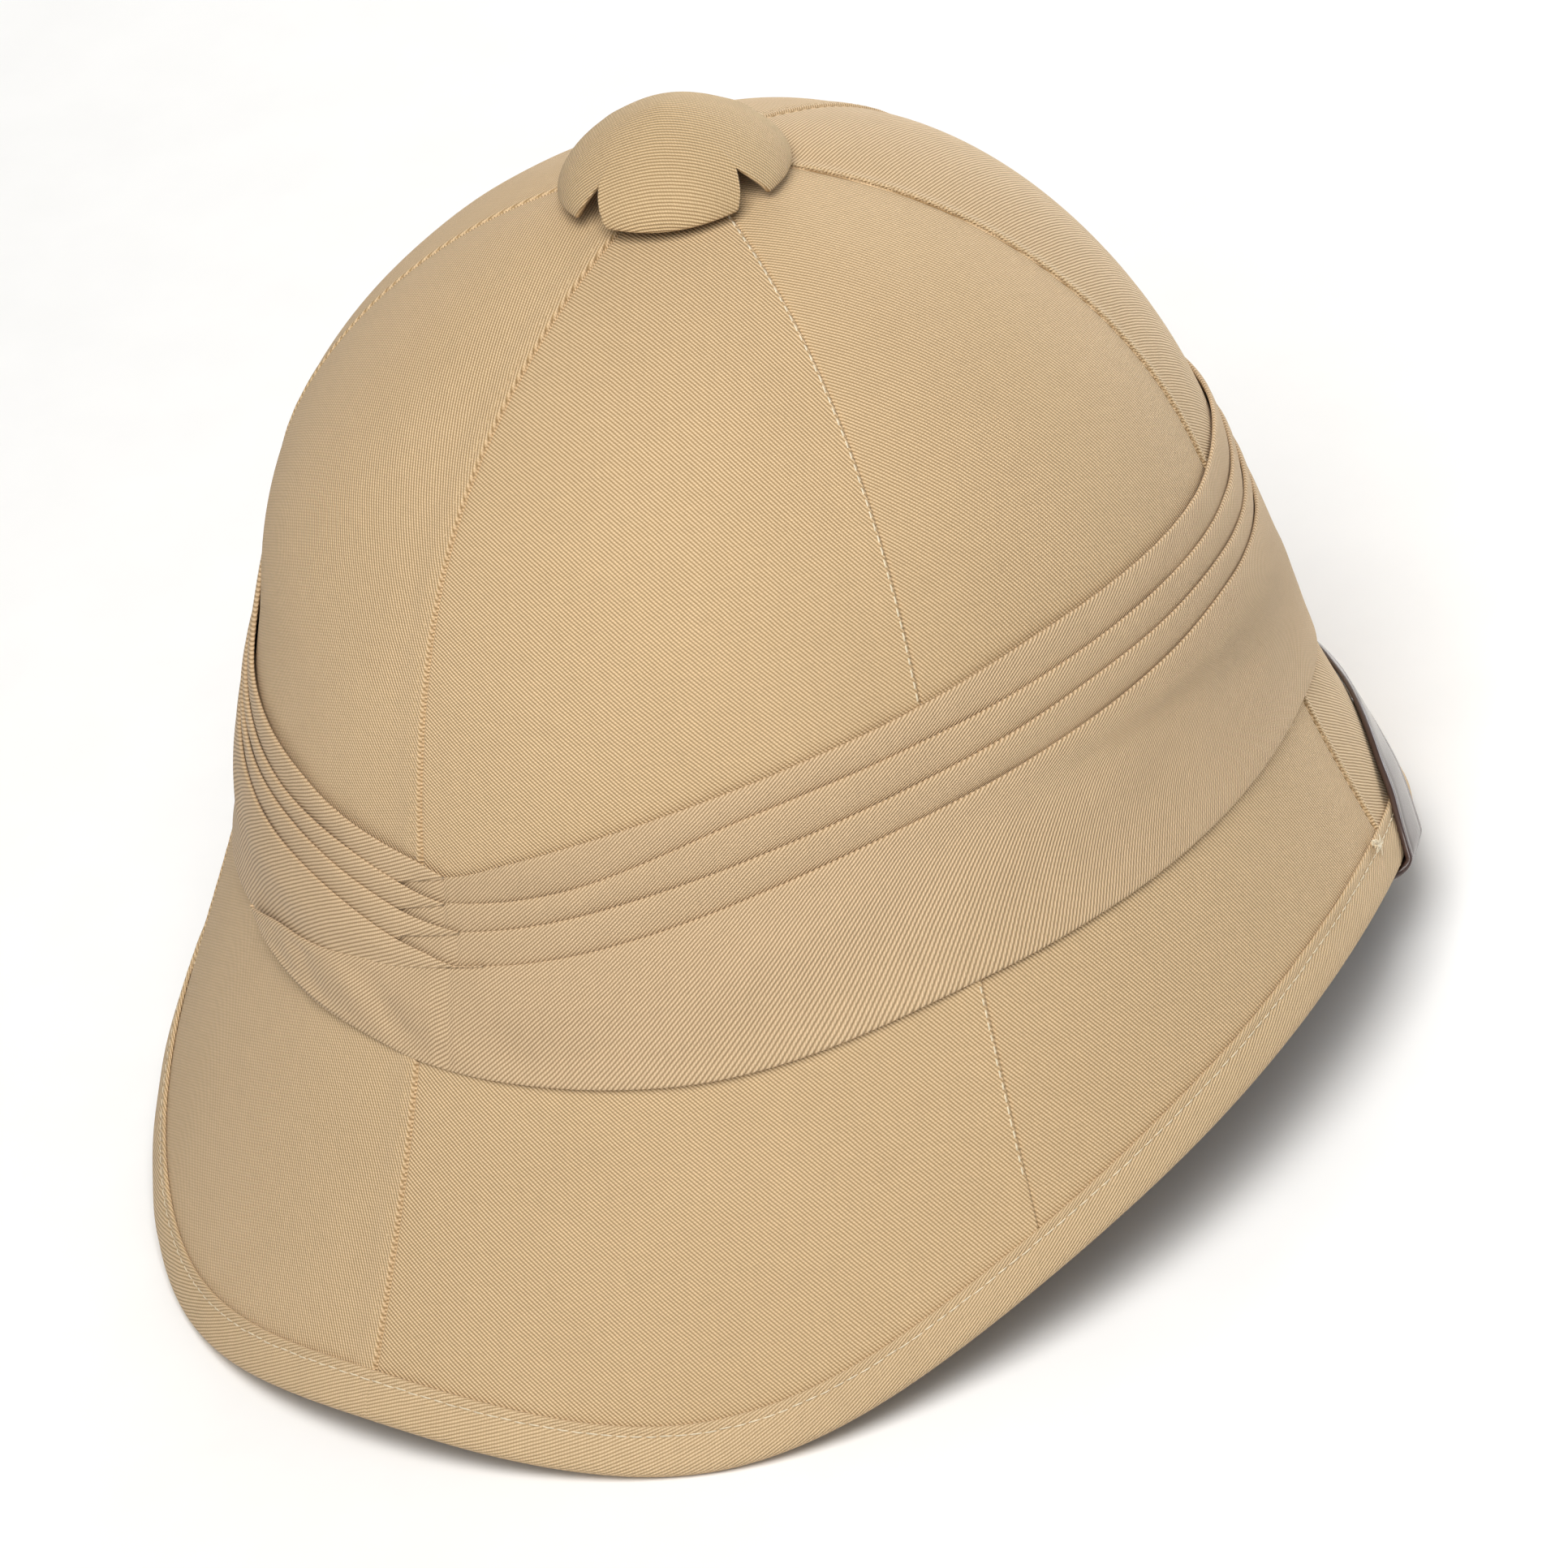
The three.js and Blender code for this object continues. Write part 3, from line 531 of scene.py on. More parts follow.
def strip(k):
    """One strip of the band from its tongue under the crossing, right round, to its tapered left tip."""
    is_pleat = k < 4
    start, right, tip, end = TONGUE_START[k], RIGHT_START[k], TIP_START[k], LEFT_END[k]
    tail = np.arange(342 if is_pleat else 326, end, 0.5)
    fine = np.arange(start, 14, 0.5 if is_pleat else 0.75)
    az = np.unique(np.round(np.concatenate([fine, np.arange(14, tail[0], 0.9), tail, [end]]), 4))
    top = top_line[k](np.maximum(az, right))
    rpm = rows_per_mm(az, np.maximum(top, 2.4))
    # the tongue's upper side runs hidden under the left strip's lower edge
    hidden = 1.2 * smoothstep(right, right - 2.5, az)
    top = np.where(az < right, tip_line[k](az + 360) - hidden * rpm, top)
    if is_pleat:
        below = top_line[k + 1](np.where(az < RIGHT_START[k + 1], az + 360, az))
    else:
        below = bottom_line(np.minimum(az, tip))
    below = np.maximum(np.where(az > tip, tip_line[k](az), below), top + 0.004)
    width = (below - top) / rpm
    over = CROSSING_RISE * smoothstep(300, 330, az)
    # the layers are pressed flat where the two ends cross
    from_crossing = np.mod(az + 180, 360) - 180
    press = 1 - 0.5 * np.exp(-((from_crossing / 13) ** 2))
    thin = smoothstep(right + 4, right - 0.5, az)
    base = STRIP_BASE + STRIP_RISE * (k - 1) * press + over + 0.08 * noise_1d(az, 360, 40 + k)
    thick = (1.0 - 0.3 * thin - 0.25 * smoothstep(350, end, az)) * press + 0.06 * noise_1d(az, 360, 50 + k)
    if is_pleat:
        puff = 0.28 * np.clip(width / 5, 0.1, 1) * (1 - 0.9 * thin) * (1 + 0.5 * noise_1d(az, 360, 60 + k))
    else:
        puff = 0.9 * np.clip(width / FOLD_WIDTH, 0.05, 1) * (1 - 0.3 * thin)
    lines, uvs = [], []
    girth = run_along(face(az, top))
    for share, offset, lift, puffed in PLEAT if is_pleat else WIDE_FOLD:
        if is_pleat and share == 1:
            off = offset * smoothstep(tip, tip - 1.5, az)
        else:
            off = offset * np.minimum(width / 3, 1)
        down = (below - top) * share + off * rpm
        level = base + thick * lift + puff * puffed
        if not is_pleat:
            # the wide fold comes down on the brim along its lower edge
            drop = smoothstep(0.35, 1.0, share) * (base - over * 0.2 - 0.45)
            level = level - drop * np.clip(width / 20, 0, 1)
            if lift > 0.6:
                inside = smoothstep(0, 0.25, share) * smoothstep(1.0, 0.75, share)
                level = level + dents(az, top + down) * inside
            level = np.maximum(level, 0.35 + 0.5 * lift)
        lines.append(lifted(az, top + down, level + bulge(az, top + down)))
        uvs.append(np.stack([girth, down / rpm + STRIP_SHIFT * k], -1))
    return sweep(lines), np.stack(uvs, 1).reshape(-1, 2)


def build_band():
    solids, uvs = zip(*(strip(k) for k in TOP))
    return gather("puggaree_wrap", solids, np.concatenate(uvs))


# The binding
STITCH_INSET = 8.0
STITCH_PITCH = 3.2
EDGE_ROW = 5.85
# the tape's section: inset, lift, how much a stitch pulls it in
BINDING_SECTION = (
    (10.0, 0.1, 0), (10.12, 0.3, 0), (10.14, 0.6, 0), (10.05, 0.86, 0), (9.75, 1.03, 0), (9.3, 1.08, 0.3),
    (8.7, 1.04, 0.7), (8.0, 0.94, 1.0), (7.3, 1.02, 0.7), (6.4, 1.12, 0.25), (5.2, 1.17, 0.1), (3.8, 1.16, 0),
    (2.2, 1.1, 0), (0.9, 0.93, 0), (0, 0.5, 0), (-0.55, -0.2, 0), (-0.85, -1.1, 0), (-0.9, -2.0, 0),
    (-0.7, -3.0, 0), (-0.15, -3.85, 0), (0.8, -4.3, 0), (3, -4.42, 0), (6, -4.42, 0), (8, -4.3, 0.6),
    (9.6, -4.3, 0), (10.05, -4.05, 0), (10.05, -3.5, 0), (10.0, -3.3, 0), (5, -3.32, 0), (0, -3.3, 0),
    (-0.33, -2.8, 0), (-0.34, -1.5, 0), (-0.3, -0.2, 0), (0, 0.3, 0), (5, 0.32, 0),
)
SECTION_GAP = 0.3


def stitch_line():
    """Azimuths close together along the binding's stitches, with the length run at each."""
    az = np.linspace(0, 360, 1441)
    return az, run_along(lifted(az, LAST_ROW - STITCH_INSET * rows_per_mm(az, EDGE_ROW), 0.94))


def build_binding():
    az_all, along_all = stitch_line()
    length = along_all[-1]
    stitches = round(length / STITCH_PITCH)
    at = np.arange(stitches * 4) / (stitches * 4) * length
    az = np.interp(at, along_all, az_all)
    pull = 0.16 + 0.12 * np.cos(2 * np.pi * stitches * at / length)
    rpm = rows_per_mm(az, EDGE_ROW)
    wobble = 0.12 * noise_1d(az, 360, 5, 8)
    uneven = 0.07 * noise_1d(az * 2, 360, 9)
    pts = np.stack([lifted(az, LAST_ROW - (inset + wobble * (inset > 9)) * rpm,
                           lift - share * pull + uneven * (lift > 0.5))
                    for inset, lift, share in BINDING_SECTION], 1)
    flat, quads = pts.reshape(-1, 3), grid_faces(*pts.shape[:2], closed=True)
    if signed_volume(flat, quads) < 0:
        quads = quads[:, ::-1]
    round_section = run_along(np.array(BINDING_SECTION)[:, :2])
    uv = np.stack(np.meshgrid(at, round_section, indexing="ij"), -1).reshape(-1, 2)[quads]
    # where the tape or its section closes, the cloth's measure runs on
    for axis, whole in enumerate((length, round_section[-1] + SECTION_GAP)):
        value = uv[..., axis]
        closing = np.ptp(value, axis=1, keepdims=True) > whole / 2
        uv[..., axis] = np.where(closing & (value < whole / 2), value + whole, value)
    rest = to_rest(flat)
    rest[:, 2] = np.maximum(rest[:, 2], 0.0)
    return make_mesh("brim_tape", rest, quads, uv.reshape(-1, 2))


# Stitches
# stations of one stitch: share of its length, how fat it is, how high its middle lies
STITCH_STATIONS = ((0.0, 0.25, -0.55), (0.1, 0.75, 0.0), (0.3, 1.0, 0.55), (0.5, 1.0, 0.7), (0.7, 1.0, 0.55),
                   (0.9, 0.75, 0.0), (1.0, 0.25, -0.55))


def round_turns(sides):
    return np.linspace(0, 2 * math.pi, sides + 1)[:-1]


def capsule(a, b, out, width, height):
    """One stitch: a flattened thread from a to b, sunk at both ends. Points in worn millimetres."""
    side = np.cross(unit(b - a), out)
    share, fat, rise = np.array(STITCH_STATIONS).T[..., None]
    middle = a + (b - a) * share + out * (rise * height)
    return sweep([middle + (side * (math.cos(t) * width) + out * (math.sin(t) * height)) * fat / 2
                  for t in round_turns(6)])


def build_binding_stitches():
    az_all, along_all = stitch_line()
    count = round(along_all[-1] / STITCH_PITCH)
    rng = np.random.default_rng(21)
    stitches = []
    for k in range(count):
        middle = (k + 0.5) / count * along_all[-1]
        half = 1.28 + rng.uniform(-0.16, 0.16)
        inset = STITCH_INSET + rng.uniform(-0.1, 0.1)
        az = np.interp([middle - half, middle, middle + half], along_all, az_all)
        a, _, b = lifted(az, LAST_ROW - inset * rows_per_mm(az, EDGE_ROW), 0.9)
        normal, _ = frame_at(az[1], 5.6)
        stitches.append(capsule(a, b, normal, 0.32, 0.2))
    return gather("binding_stitches", stitches)


# of each seam: the stitches' pitch, length, distance from the seam, width, height and slant across it
SEAM_STITCH = {
    0: (2.35, 1.4, 1.8, 0.2, 0.12, 0), 60: (2.6, 1.9, 0.62, 0.4, 0.26, 0),
    120: (0.95, 1.1, 0.1, 0.5, 0.3, 0.24), 180: (2.5, 1.5, 1.6, 0.2, 0.12, 0),
    240: (2.5, 1.5, 1.6, 0.2, 0.12, 0), 300: (2.4, 1.2, 1.6, 0.12, 0.04, 0),
}


def build_seam_stitches(name, seams):
    """Rows of stitches down the seams, left out under the band and the binding."""
    rng = np.random.default_rng(8)
    stitches = []
    for seam in seams:
        pitch, length, away, width, height, slant = SEAM_STITCH[seam]
        rows = np.linspace(0.3, 5.86, 1400)
        az = seam + LAP_SIDE[seam] * np.degrees(away / np.maximum(reach_of(seam, rows), 4))
        pts = lifted(az, rows, bulge(az, rows) + seam_relief(az, rows) - 0.02)
        along = run_along(pts)
        for k in range(int(along[-1] / pitch)):
            middle = (k + 0.5) * pitch
            row = np.interp(middle, along, rows)
            if band_top_at(seam) - 0.02 < row < band_bottom_at(seam) or row > 5.66:
                continue
            half = length / 2 + rng.uniform(-0.12, 0.12)
            drift = rng.uniform(-0.08, 0.08)
            a, b = (np.array([np.interp(at, along, pts[:, i]) for i in range(3)])
                    for at in (middle - half, middle + half))
            normal, down = frame_at(np.interp(middle, along, az), row)
            across = np.cross(normal, down)
            a, b = a + across * (drift - slant), b + across * (drift + slant)
            stitches.append(capsule(a, b, normal, width, height))
    return gather(name, stitches)


# The cap
CAP_RADIUS = 24.9
CAP_HEIGHT = 16.1
CAP_FULLNESS = 1.55
CAP_CLOTH = 1.7
NOTCH_HALF_WIDTH = 4.8
NOTCH_HEIGHT = 7.0
NOTCH_TURN = -8.0


def build_cap(view_right):
    half = math.degrees(NOTCH_HALF_WIDTH / CAP_RADIUS)
    # azimuths of the grid, denser at the notches, with a column on each corner of a notch
    beside = np.array([0.06, 0.15, 0.3, 0.45, 0.6, 0.75, 0.9, 1.0, 1.12, 1.35, 1.7])
    near = half * np.concatenate([-beside[::-1], [0], beside])
    between = np.linspace(near[-1], 90 + near[0], 26)[1:-1]
    azimuths = np.concatenate([NOTCH_TURN + 90 * k + part for k in range(4) for part in (near, between)])
    from_notch = np.mod(azimuths - NOTCH_TURN + 45, 90) - 45
    cut = NOTCH_HEIGHT * np.clip(1 - np.abs(from_notch) / half, 0, None)
    wave = np.cos(np.radians(from_notch * 4))
    a = np.radians(azimuths)
    outward = np.stack([-np.sin(a), np.cos(a)])

    def ring(s, radius, height, cut, soft=0.0):
        """A line round the dome, for s from 0 at the top to 1 at the rim, whose lobes aren't quite level."""
        power = 2 / CAP_FULLNESS
        low = np.arcsin(np.clip(cut / height, 0, 1) ** (1 / power))
        t = np.pi / 2 - s * (np.pi / 2 - low)
        reach = radius * np.cos(t) ** power - soft * np.sin(np.pi * s) * wave
        return np.stack([*(reach * outward), height * np.sin(t) ** power + 0.25 * wave * s**6], -1)

    outer = [ring(s, CAP_RADIUS, CAP_HEIGHT, cut, 0.175) for s in (0.04, 0.08, *np.linspace(0.12, 1, 34))]
    inner = [ring(s, CAP_RADIUS - CAP_CLOTH, CAP_HEIGHT - CAP_CLOTH, np.minimum(cut, CAP_HEIGHT - 6))
             for s in np.linspace(1, 0.06, 16)]
    # a rolled rim between the outer and the inner face, standing past the cut line
    run = unit(outer[-1] - outer[-2])
    middle, radial = (outer[-1] + inner[0]) / 2, (outer[-1] - inner[0]) / 2
    size = np.linalg.norm(radial, axis=-1, keepdims=True)
    rim = [middle + radial * math.cos(t) + run * size * math.sin(t) * 0.8
           for t in np.radians((30, 60, 90, 120, 150))]
    grid = np.stack(outer + rim + inner)
    n, m = grid.shape[:2]
    flat, quads = grid.reshape(-1, 3), grid_faces(n, m)
    tops = np.array([[0, 0, CAP_HEIGHT + 0.02], [0, 0, CAP_HEIGHT - CAP_CLOTH]])
    tris = [[n * m, j, (j + 1) % m] for j in range(m)]
    tris += [[n * m + 1, (n - 1) * m + (j + 1) % m, (n - 1) * m + j] for j in range(m)]
    faces = [*quads, *tris]
    if signed_volume(flat, quads) < 0:
        faces = [f[::-1] for f in faces]
    # cloth coordinates: distance from the top along the dome, in its own direction
    down = np.diff(np.concatenate([np.repeat(tops[:1, None], m, 1), grid]), axis=0)
    u, v = np.cumsum(np.linalg.norm(down, axis=-1), axis=0) * outward[:, None]
    right = view_right / np.linalg.norm(view_right)
    cloth = np.stack([u * right[0] + v * right[1], v * right[0] - u * right[1]], -1).reshape(-1, 2)
    worn = tilted(np.concatenate([flat, tops]), CAP_TILT) + CAP_ORIGIN
    return make_mesh("ventilator_dome", to_rest(worn), faces, np.concatenate([cloth, np.zeros((2, 2))]))


# The chin strap, 1.5 mm thick
STRAP_WIDTH = 13.0
# level of the strap's middle over the binding, over the brim's cloth and inside, off the body's faces
OVER_BINDING = 1.95
ROUND_EDGE = 1.8
ON_BRIM = 1.25
INSIDE = 1.9
# where the strap leaves the binding for the cloth, as distances from the rim
OFF_TAPE = (10.4, 19)
# the strap's middle line from its stud inside to the front, as azimuth and distance from the rim:
# on the outer face, then below 0 round the rim and up the inner face
STRAP_COURSE = [
    (113.0, -92.5), (113.5, -78), (114.3, -62), (115.5, -47), (117.3, -33), (119.3, -22.5), (121, -14.5),
    (122.3, -8), (123.9, -3), (125.7, 1.6), (128.8, 7.4), (132.2, 12.9), (136.0, 18.4), (142, 23.6),
    (152, 25.6), (165, 25.4), (180, 25),
]

MM_PER_DEGREE = 2.27


def curve(points, per_span):
    """Places along a centripetal Catmull-Rom curve through the points."""
    p = np.asarray(points, float)
    p = np.concatenate([[2 * p[0] - p[1]], p, [2 * p[-1] - p[-2]]])
    knots = np.concatenate([[0], np.cumsum(np.linalg.norm(np.diff(p, axis=0), axis=1) ** 0.5)])
    out = []
    for i in range(1, len(p) - 2):
        at = knots[i - 1:i + 3]
        for t in np.linspace(at[1], at[2], per_span, endpoint=False):
            level = p[i - 1:i + 3]
            for span in (1, 2):
                share = (t - at[:-span]) / (at[span:] - at[:-span])
                level = level[:-1] + share[:, None] * np.diff(level, axis=0)
            out.append(level[0] + (t - at[1]) / (at[2] - at[1]) * (level[1] - level[0]))
    return np.array(out + [p[-2]])


def round_rim(az, inset, lift):
    """A point of the strap, lifted off its middle, for a place on the brim unrolled round the rim."""
    tall = BODY_WALL / 2 + OVER_BINDING
    turn_radius = math.sqrt((tall**2 + ROUND_EDGE**2) / 2)
    half_turn = math.pi * turn_radius
    up = np.where(inset >= 0, inset, np.maximum(-inset - half_turn, 0))
    row = LAST_ROW - up * rows_per_mm(az, 5.9)
    normal, down = frame_at(az, np.minimum(row, LAST_ROW))
    on_face = face(az, row)
    off_tape = smoothstep(*OFF_TAPE, up)
    outer = OVER_BINDING + (ON_BRIM - OVER_BINDING) * off_tape + lift
    inner = BODY_WALL + OVER_BINDING + (INSIDE - OVER_BINDING) * off_tape + lift
    phi = np.clip(-inset / turn_radius, 0, math.pi)
    rim = (on_face + normal * ((tall + lift) * np.cos(phi) - BODY_WALL / 2)[..., None]
           + down * ((ROUND_EDGE + lift) * np.sin(phi))[..., None])
    over, turning = inset[..., None] >= 0, inset[..., None] > -half_turn
    return np.where(over, on_face + normal * outer[..., None],
                    np.where(turning, rim, on_face - normal * inner[..., None]))


def build_strap():
    rows = STRAP_COURSE + [(360 - a, d) for a, d in STRAP_COURSE[-2::-1]]
    flat_line = curve([(a * MM_PER_DEGREE, d) for a, d in rows], 14)
    az, inset = flat_line[:, 0] / MM_PER_DEGREE, flat_line[:, 1]
    reach = reach_of(az, LAST_ROW - np.maximum(inset, 0) / ROW_LENGTH)
    run = np.gradient(np.radians(az)) * reach
    rise = np.gradient(inset)
    length = np.hypot(run, rise)
    girth = np.concatenate([[0], np.cumsum((length[1:] + length[:-1]) / 2)])
    # half of the section: distance from the middle line and level, over the strap's middle and under it
    w = STRAP_WIDTH / 2
    upper = [(w, 0.15), (w - 0.06, 0.42), (w - 0.3, 0.66), (w - 0.75, 0.75), (w - 1.5, 0.72),
             (w - 1.75, 0.66), (w - 2.0, 0.72), (3, 0.78), (1.5, 0.79)]
    lower = [(w, -0.4), (w - 0.3, -0.7), (w - 0.9, -0.75), (4, -0.75), (2, -0.75)]
    section = [(-x, y) for x, y in upper] + [(0, 0.8)] + upper[::-1]
    section += lower + [(0, -0.75)] + [(-x, y) for x, y in lower[::-1]]
    lines, uv = [], []
    for x, y in section:
        side = np.full_like(az, x)
        if abs(x) > w - 0.1:
            side = side + math.copysign(0.07, x) * noise_1d(girth + 40 * y, girth[-1], 71, 14)
        across = az - np.degrees(side * rise / length / reach)
        lines.append(round_rim(across, inset + side * run / length, y))
        uv.append(np.stack([girth, np.full_like(girth, x + (30 if y < 0 else 0))], -1))
    return gather("leather_strap", [sweep(lines)], np.stack(uv, 1).reshape(-1, 2))


# The frayed knot
def tube(points, radius, sides=6):
    """A thread along the points, thinner at its last one."""
    p = np.asarray(points, float)
    tangent = unit(np.gradient(p, axis=0))
    side = unit(np.cross(tangent, (0.31, 0.52, 0.8)))
    up = np.cross(side, tangent)
    fat = np.full((len(p), 1), radius)
    fat[-1] *= 0.5
    return sweep([p + (side * math.cos(t) + up * math.sin(t)) * fat for t in round_turns(sides)])


def build_knot():
    rng = np.random.default_rng(4)
    az, row = 116.5, 5.79
    normal, down = frame_at(az, row)
    side = np.cross(down, normal)
    origin = lifted(az, row, 1.5)
    threads = []
    for k in range(3):
        tilt = k * 1.1
        loop = [origin + side * math.cos(a) * 1.3 + down * math.sin(a) * 0.8 * math.cos(tilt)
                + normal * (0.35 + 0.55 * math.sin(a + tilt)) for a in np.linspace(0, 2 * math.pi * 0.92, 14)]
        threads.append(tube(loop, 0.34))
    for k in range(9):
        angle = rng.uniform(0, 2 * math.pi)
        reach = rng.uniform(1.6, 3.4)
        bend = rng.uniform(-0.7, 0.7)
        share = np.linspace(0, 1, 7)[:, None]
        turn = angle + bend * share
        loose_end = (origin + (side * np.cos(turn) + down * np.sin(turn)) * reach * share
                     + normal * (0.5 + 0.5 * np.sin(math.pi * share)))
        threads.append(tube(loose_end, 0.14, 5))
    return gather("binding_knot", threads)


# Materials
class Surface:
    """A new material, with short ways to add and link its nodes."""

    def __init__(self, name):
        self.material = bpy.data.materials.new(name)
        self.material.use_nodes = True
        self.tree = self.material.node_tree
        self.tree.nodes.clear()
        out = self.tree.nodes.new("ShaderNodeOutputMaterial")
        self.shader = self.tree.nodes.new("ShaderNodeBsdfPrincipled")
        self.tree.links.new(self.shader.outputs["BSDF"], out.inputs["Surface"])

    def link(self, value, socket):
        if isinstance(value, bpy.types.NodeSocket):
            self.tree.links.new(value, socket)
        else:
            socket.default_value = value

    def node(self, kind, inputs):
        node = self.tree.nodes.new(kind)
        for name, value in inputs.items():
            self.link(value, node.inputs[name])
        return node

    def shade(self, inputs):
        for name, value in inputs.items():
            self.link(value, self.shader.inputs[name])
        return self.material

    def cloth(self):
        """The mesh's cloth coordinates, in millimetres."""
        node = self.node("ShaderNodeUVMap", {})
        node.uv_map = "cloth"
        return node.outputs["UV"]

    def place(self):
        return self.node("ShaderNodeTexCoord", {}).outputs["Object"]

    def split(self, vector):
        return self.node("ShaderNodeSeparateXYZ", {"Vector": vector}).outputs

    def math(self, op, a, b=0.0, c=0.0):
        node = self.node("ShaderNodeMath", {})
        node.operation = op
        for value, socket in zip((a, b, c), node.inputs):
            self.link(value, socket)
        return node.outputs[0]

    def add(self, a, b):
        return self.math("ADD", a, b)

    def times(self, a, b):
        return self.math("MULTIPLY", a, b)

    def noise(self, vector, scale, detail=2.0, rough=0.5):
        inputs = {"Vector": vector, "Scale": scale, "Detail": detail, "Roughness": rough}
        return self.node("ShaderNodeTexNoise", inputs).outputs["Fac"]

    def mapped(self, vector, x=1.0, y=1.0, turn=0.0):
        inputs = {"Vector": vector, "Scale": (x, y, 1.0), "Rotation": (0, 0, math.radians(turn))}
        return self.node("ShaderNodeMapping", inputs).outputs[0]

    def ramp(self, value, stops):
        node = self.node("ShaderNodeValToRGB", {"Fac": value})
        for element, (at, color) in zip(node.color_ramp.elements, stops):
            element.position = at
            element.color = (*color, 1)
        return node.outputs["Color"]

    def mix(self, fac, a, b, blend="MIX"):
        node = self.node("ShaderNodeMix", {})
        node.data_type = "RGBA"
        node.blend_type = blend
        for value, socket in ((fac, 0), (a, 6), (b, 7)):
            self.link(value, node.inputs[socket])
        return node.outputs[2]

    def bump(self, height, distance, strength):
        inputs = {"Strength": strength, "Distance": distance, "Height": height}
        return self.node("ShaderNodeBump", inputs).outputs[0]


def grey(value):
    return (value, value, value)


YARN_PITCH = 0.66


def twill(name, color, shade, wale_turn, pitch=0.72, depth=0.2):
    """Cotton twill, with painted shade in the grooves between its ribs. wale_turn is the turn of its ribs in the
    cloth's own millimetres, in degrees.
    """
    s = Surface(name)
    cloth = s.cloth()
    along, across, _ = s.split(s.mapped(cloth, turn=wale_turn))
    # ribs, a little uneven in their spacing
    wander = s.times(s.math("SUBTRACT", s.noise(cloth, 0.14, 3.0), 0.5), 0.4)
    phase = s.times(s.add(across, wander), 2 * math.pi / pitch)
    rib = s.math("MULTIPLY_ADD", s.math("SINE", phase), 0.5, 0.5)
    # each rib is a row of short yarn floats, staggered from one rib to the next
    yarn_phase = s.add(s.times(along, 2 * math.pi / YARN_PITCH), s.times(phase, 0.4))
    yarn = s.math("MULTIPLY_ADD", s.math("SINE", yarn_phase), 0.5, 0.5)
    weave = s.times(s.math("POWER", rib, 0.75), s.math("MULTIPLY_ADD", yarn, 0.42, 0.58))
    fuzz = s.noise(cloth, 3.4, 4.0, 0.65)
    slubs = [s.noise(s.mapped(cloth, x, y), 1.0, 2.0, 0.6) for x, y in ((1.1, 0.1), (0.1, 0.9))]
    # the ribs' crests take color and the grooves between ribs and yarn floats take shade: painted shade in the
    # grooves, on top of the bump's own relief
    base = s.ramp(s.add(s.times(weave, 0.78), s.times(fuzz, 0.24)), [(0.14, shade), (0.72, color)])
    slub = s.add(s.times(slubs[0], 0.5), s.times(slubs[1], 0.5))
    dusty = s.ramp(slub, [(0.34, grey(0.965)), (0.66, grey(1.03))])
    tone = s.ramp(s.noise(cloth, 0.02, 3.0, 0.55), [(0.3, (0.975, 0.972, 0.965)), (0.7, (1.02, 1.02, 1.025))])
    return s.shade({
        "Base Color": s.mix(1.0, s.mix(1.0, base, dusty, "MULTIPLY"), tone, "MULTIPLY"),
        "Roughness": s.math("MULTIPLY_ADD", fuzz, 0.1, 0.8),
        "Normal": s.bump(s.add(weave, s.times(fuzz, 0.22)), depth * 0.001, 1.0),
        "Specular IOR Level": 0.25, "Sheen Weight": 0.09, "Sheen Roughness": 0.4,
        "Sheen Tint": (0.97, 0.97, 1.0, 1)})


def thread_material(name, color):
    s = Surface(name)
    grain, patch = s.noise(s.place(), 2600), s.noise(s.place(), 90)
    dark = tuple(c * 0.72 for c in color)
    return s.shade({
        "Base Color": s.ramp(s.add(s.times(grain, 0.6), s.times(patch, 0.4)), [(0.3, dark), (0.7, color)]),
        "Normal": s.bump(grain, 0.00006, 0.8),
        "Roughness": 0.7, "Specular IOR Level": 0.3, "Sheen Weight": 0.1})


def leather_material():
    s = Surface("strap_leather_polished")
    cloth = s.cloth()
    grain = s.noise(cloth, 1.6, 4.0, 0.6)
    pores = s.node("ShaderNodeTexVoronoi", {"Vector": cloth, "Scale": 1.1}).outputs["Distance"]
    from_middle = s.math("ABSOLUTE", s.split(cloth)[1])
    # rubbed paler near both edges of the outer face, dark and dry on the cut edge
    rub = s.ramp(s.add(s.math("DIVIDE", from_middle, STRAP_WIDTH / 2), s.times(grain, 0.12)),
                 [(0.8, grey(0.0)), (1.02, grey(1.0))])
    tone = s.ramp(grain, [(0.25, (0.028, 0.014, 0.011)), (0.75, (0.062, 0.033, 0.025))])
    return s.shade({
        "Base Color": s.mix(rub, tone, (0.05, 0.022, 0.016, 1)),
        "Roughness": s.add(s.add(s.times(grain, 0.1), s.times(rub, 0.3)), 0.16),
        "Normal": s.bump(s.add(s.times(pores, 0.5), grain), 0.00005, 0.5),
        "Coat Weight": 0.5, "Coat Roughness": 0.12})


def brass_material():
    s = Surface("brass_aged")
    stain = s.noise(s.place(), 260, 4.0, 0.6)
    return s.shade({
        "Base Color": s.ramp(stain, [(0.3, (0.32, 0.2, 0.07)), (0.7, (0.68, 0.48, 0.2))]),
        "Roughness": s.math("MULTIPLY_ADD", stain, 0.25, 0.22),
        "Normal": s.bump(s.noise(s.place(), 1500), 0.00003, 0.5),
        "Metallic": 1.0})


# Camera
VIEW_AZIMUTH = math.radians(41.699)
VIEW_RISE = math.radians(26.659)
VIEW_ROLL = math.radians(-6.726)
PX_PER_MM = 5.7
FAR = 11881 / PX_PER_MM
AIM = np.array([0, 0, -122.8])
AIM_PIXEL = (941.74, 816.86)
FRAME_PX = 1932
SENSOR = 36.0


def view_axes():
    """The photo's view direction, pointing back at the camera, with its right and up."""
    c, e, roll = VIEW_AZIMUTH, VIEW_RISE, VIEW_ROLL
    back = np.array([-math.sin(c) * math.cos(e), math.cos(c) * math.cos(e), math.sin(e)])
    right = np.array([-math.cos(c), -math.sin(c), 0])
    up = np.cross(back, right)
    return back, math.cos(roll) * right + math.sin(roll) * up, math.cos(roll) * up - math.sin(roll) * right


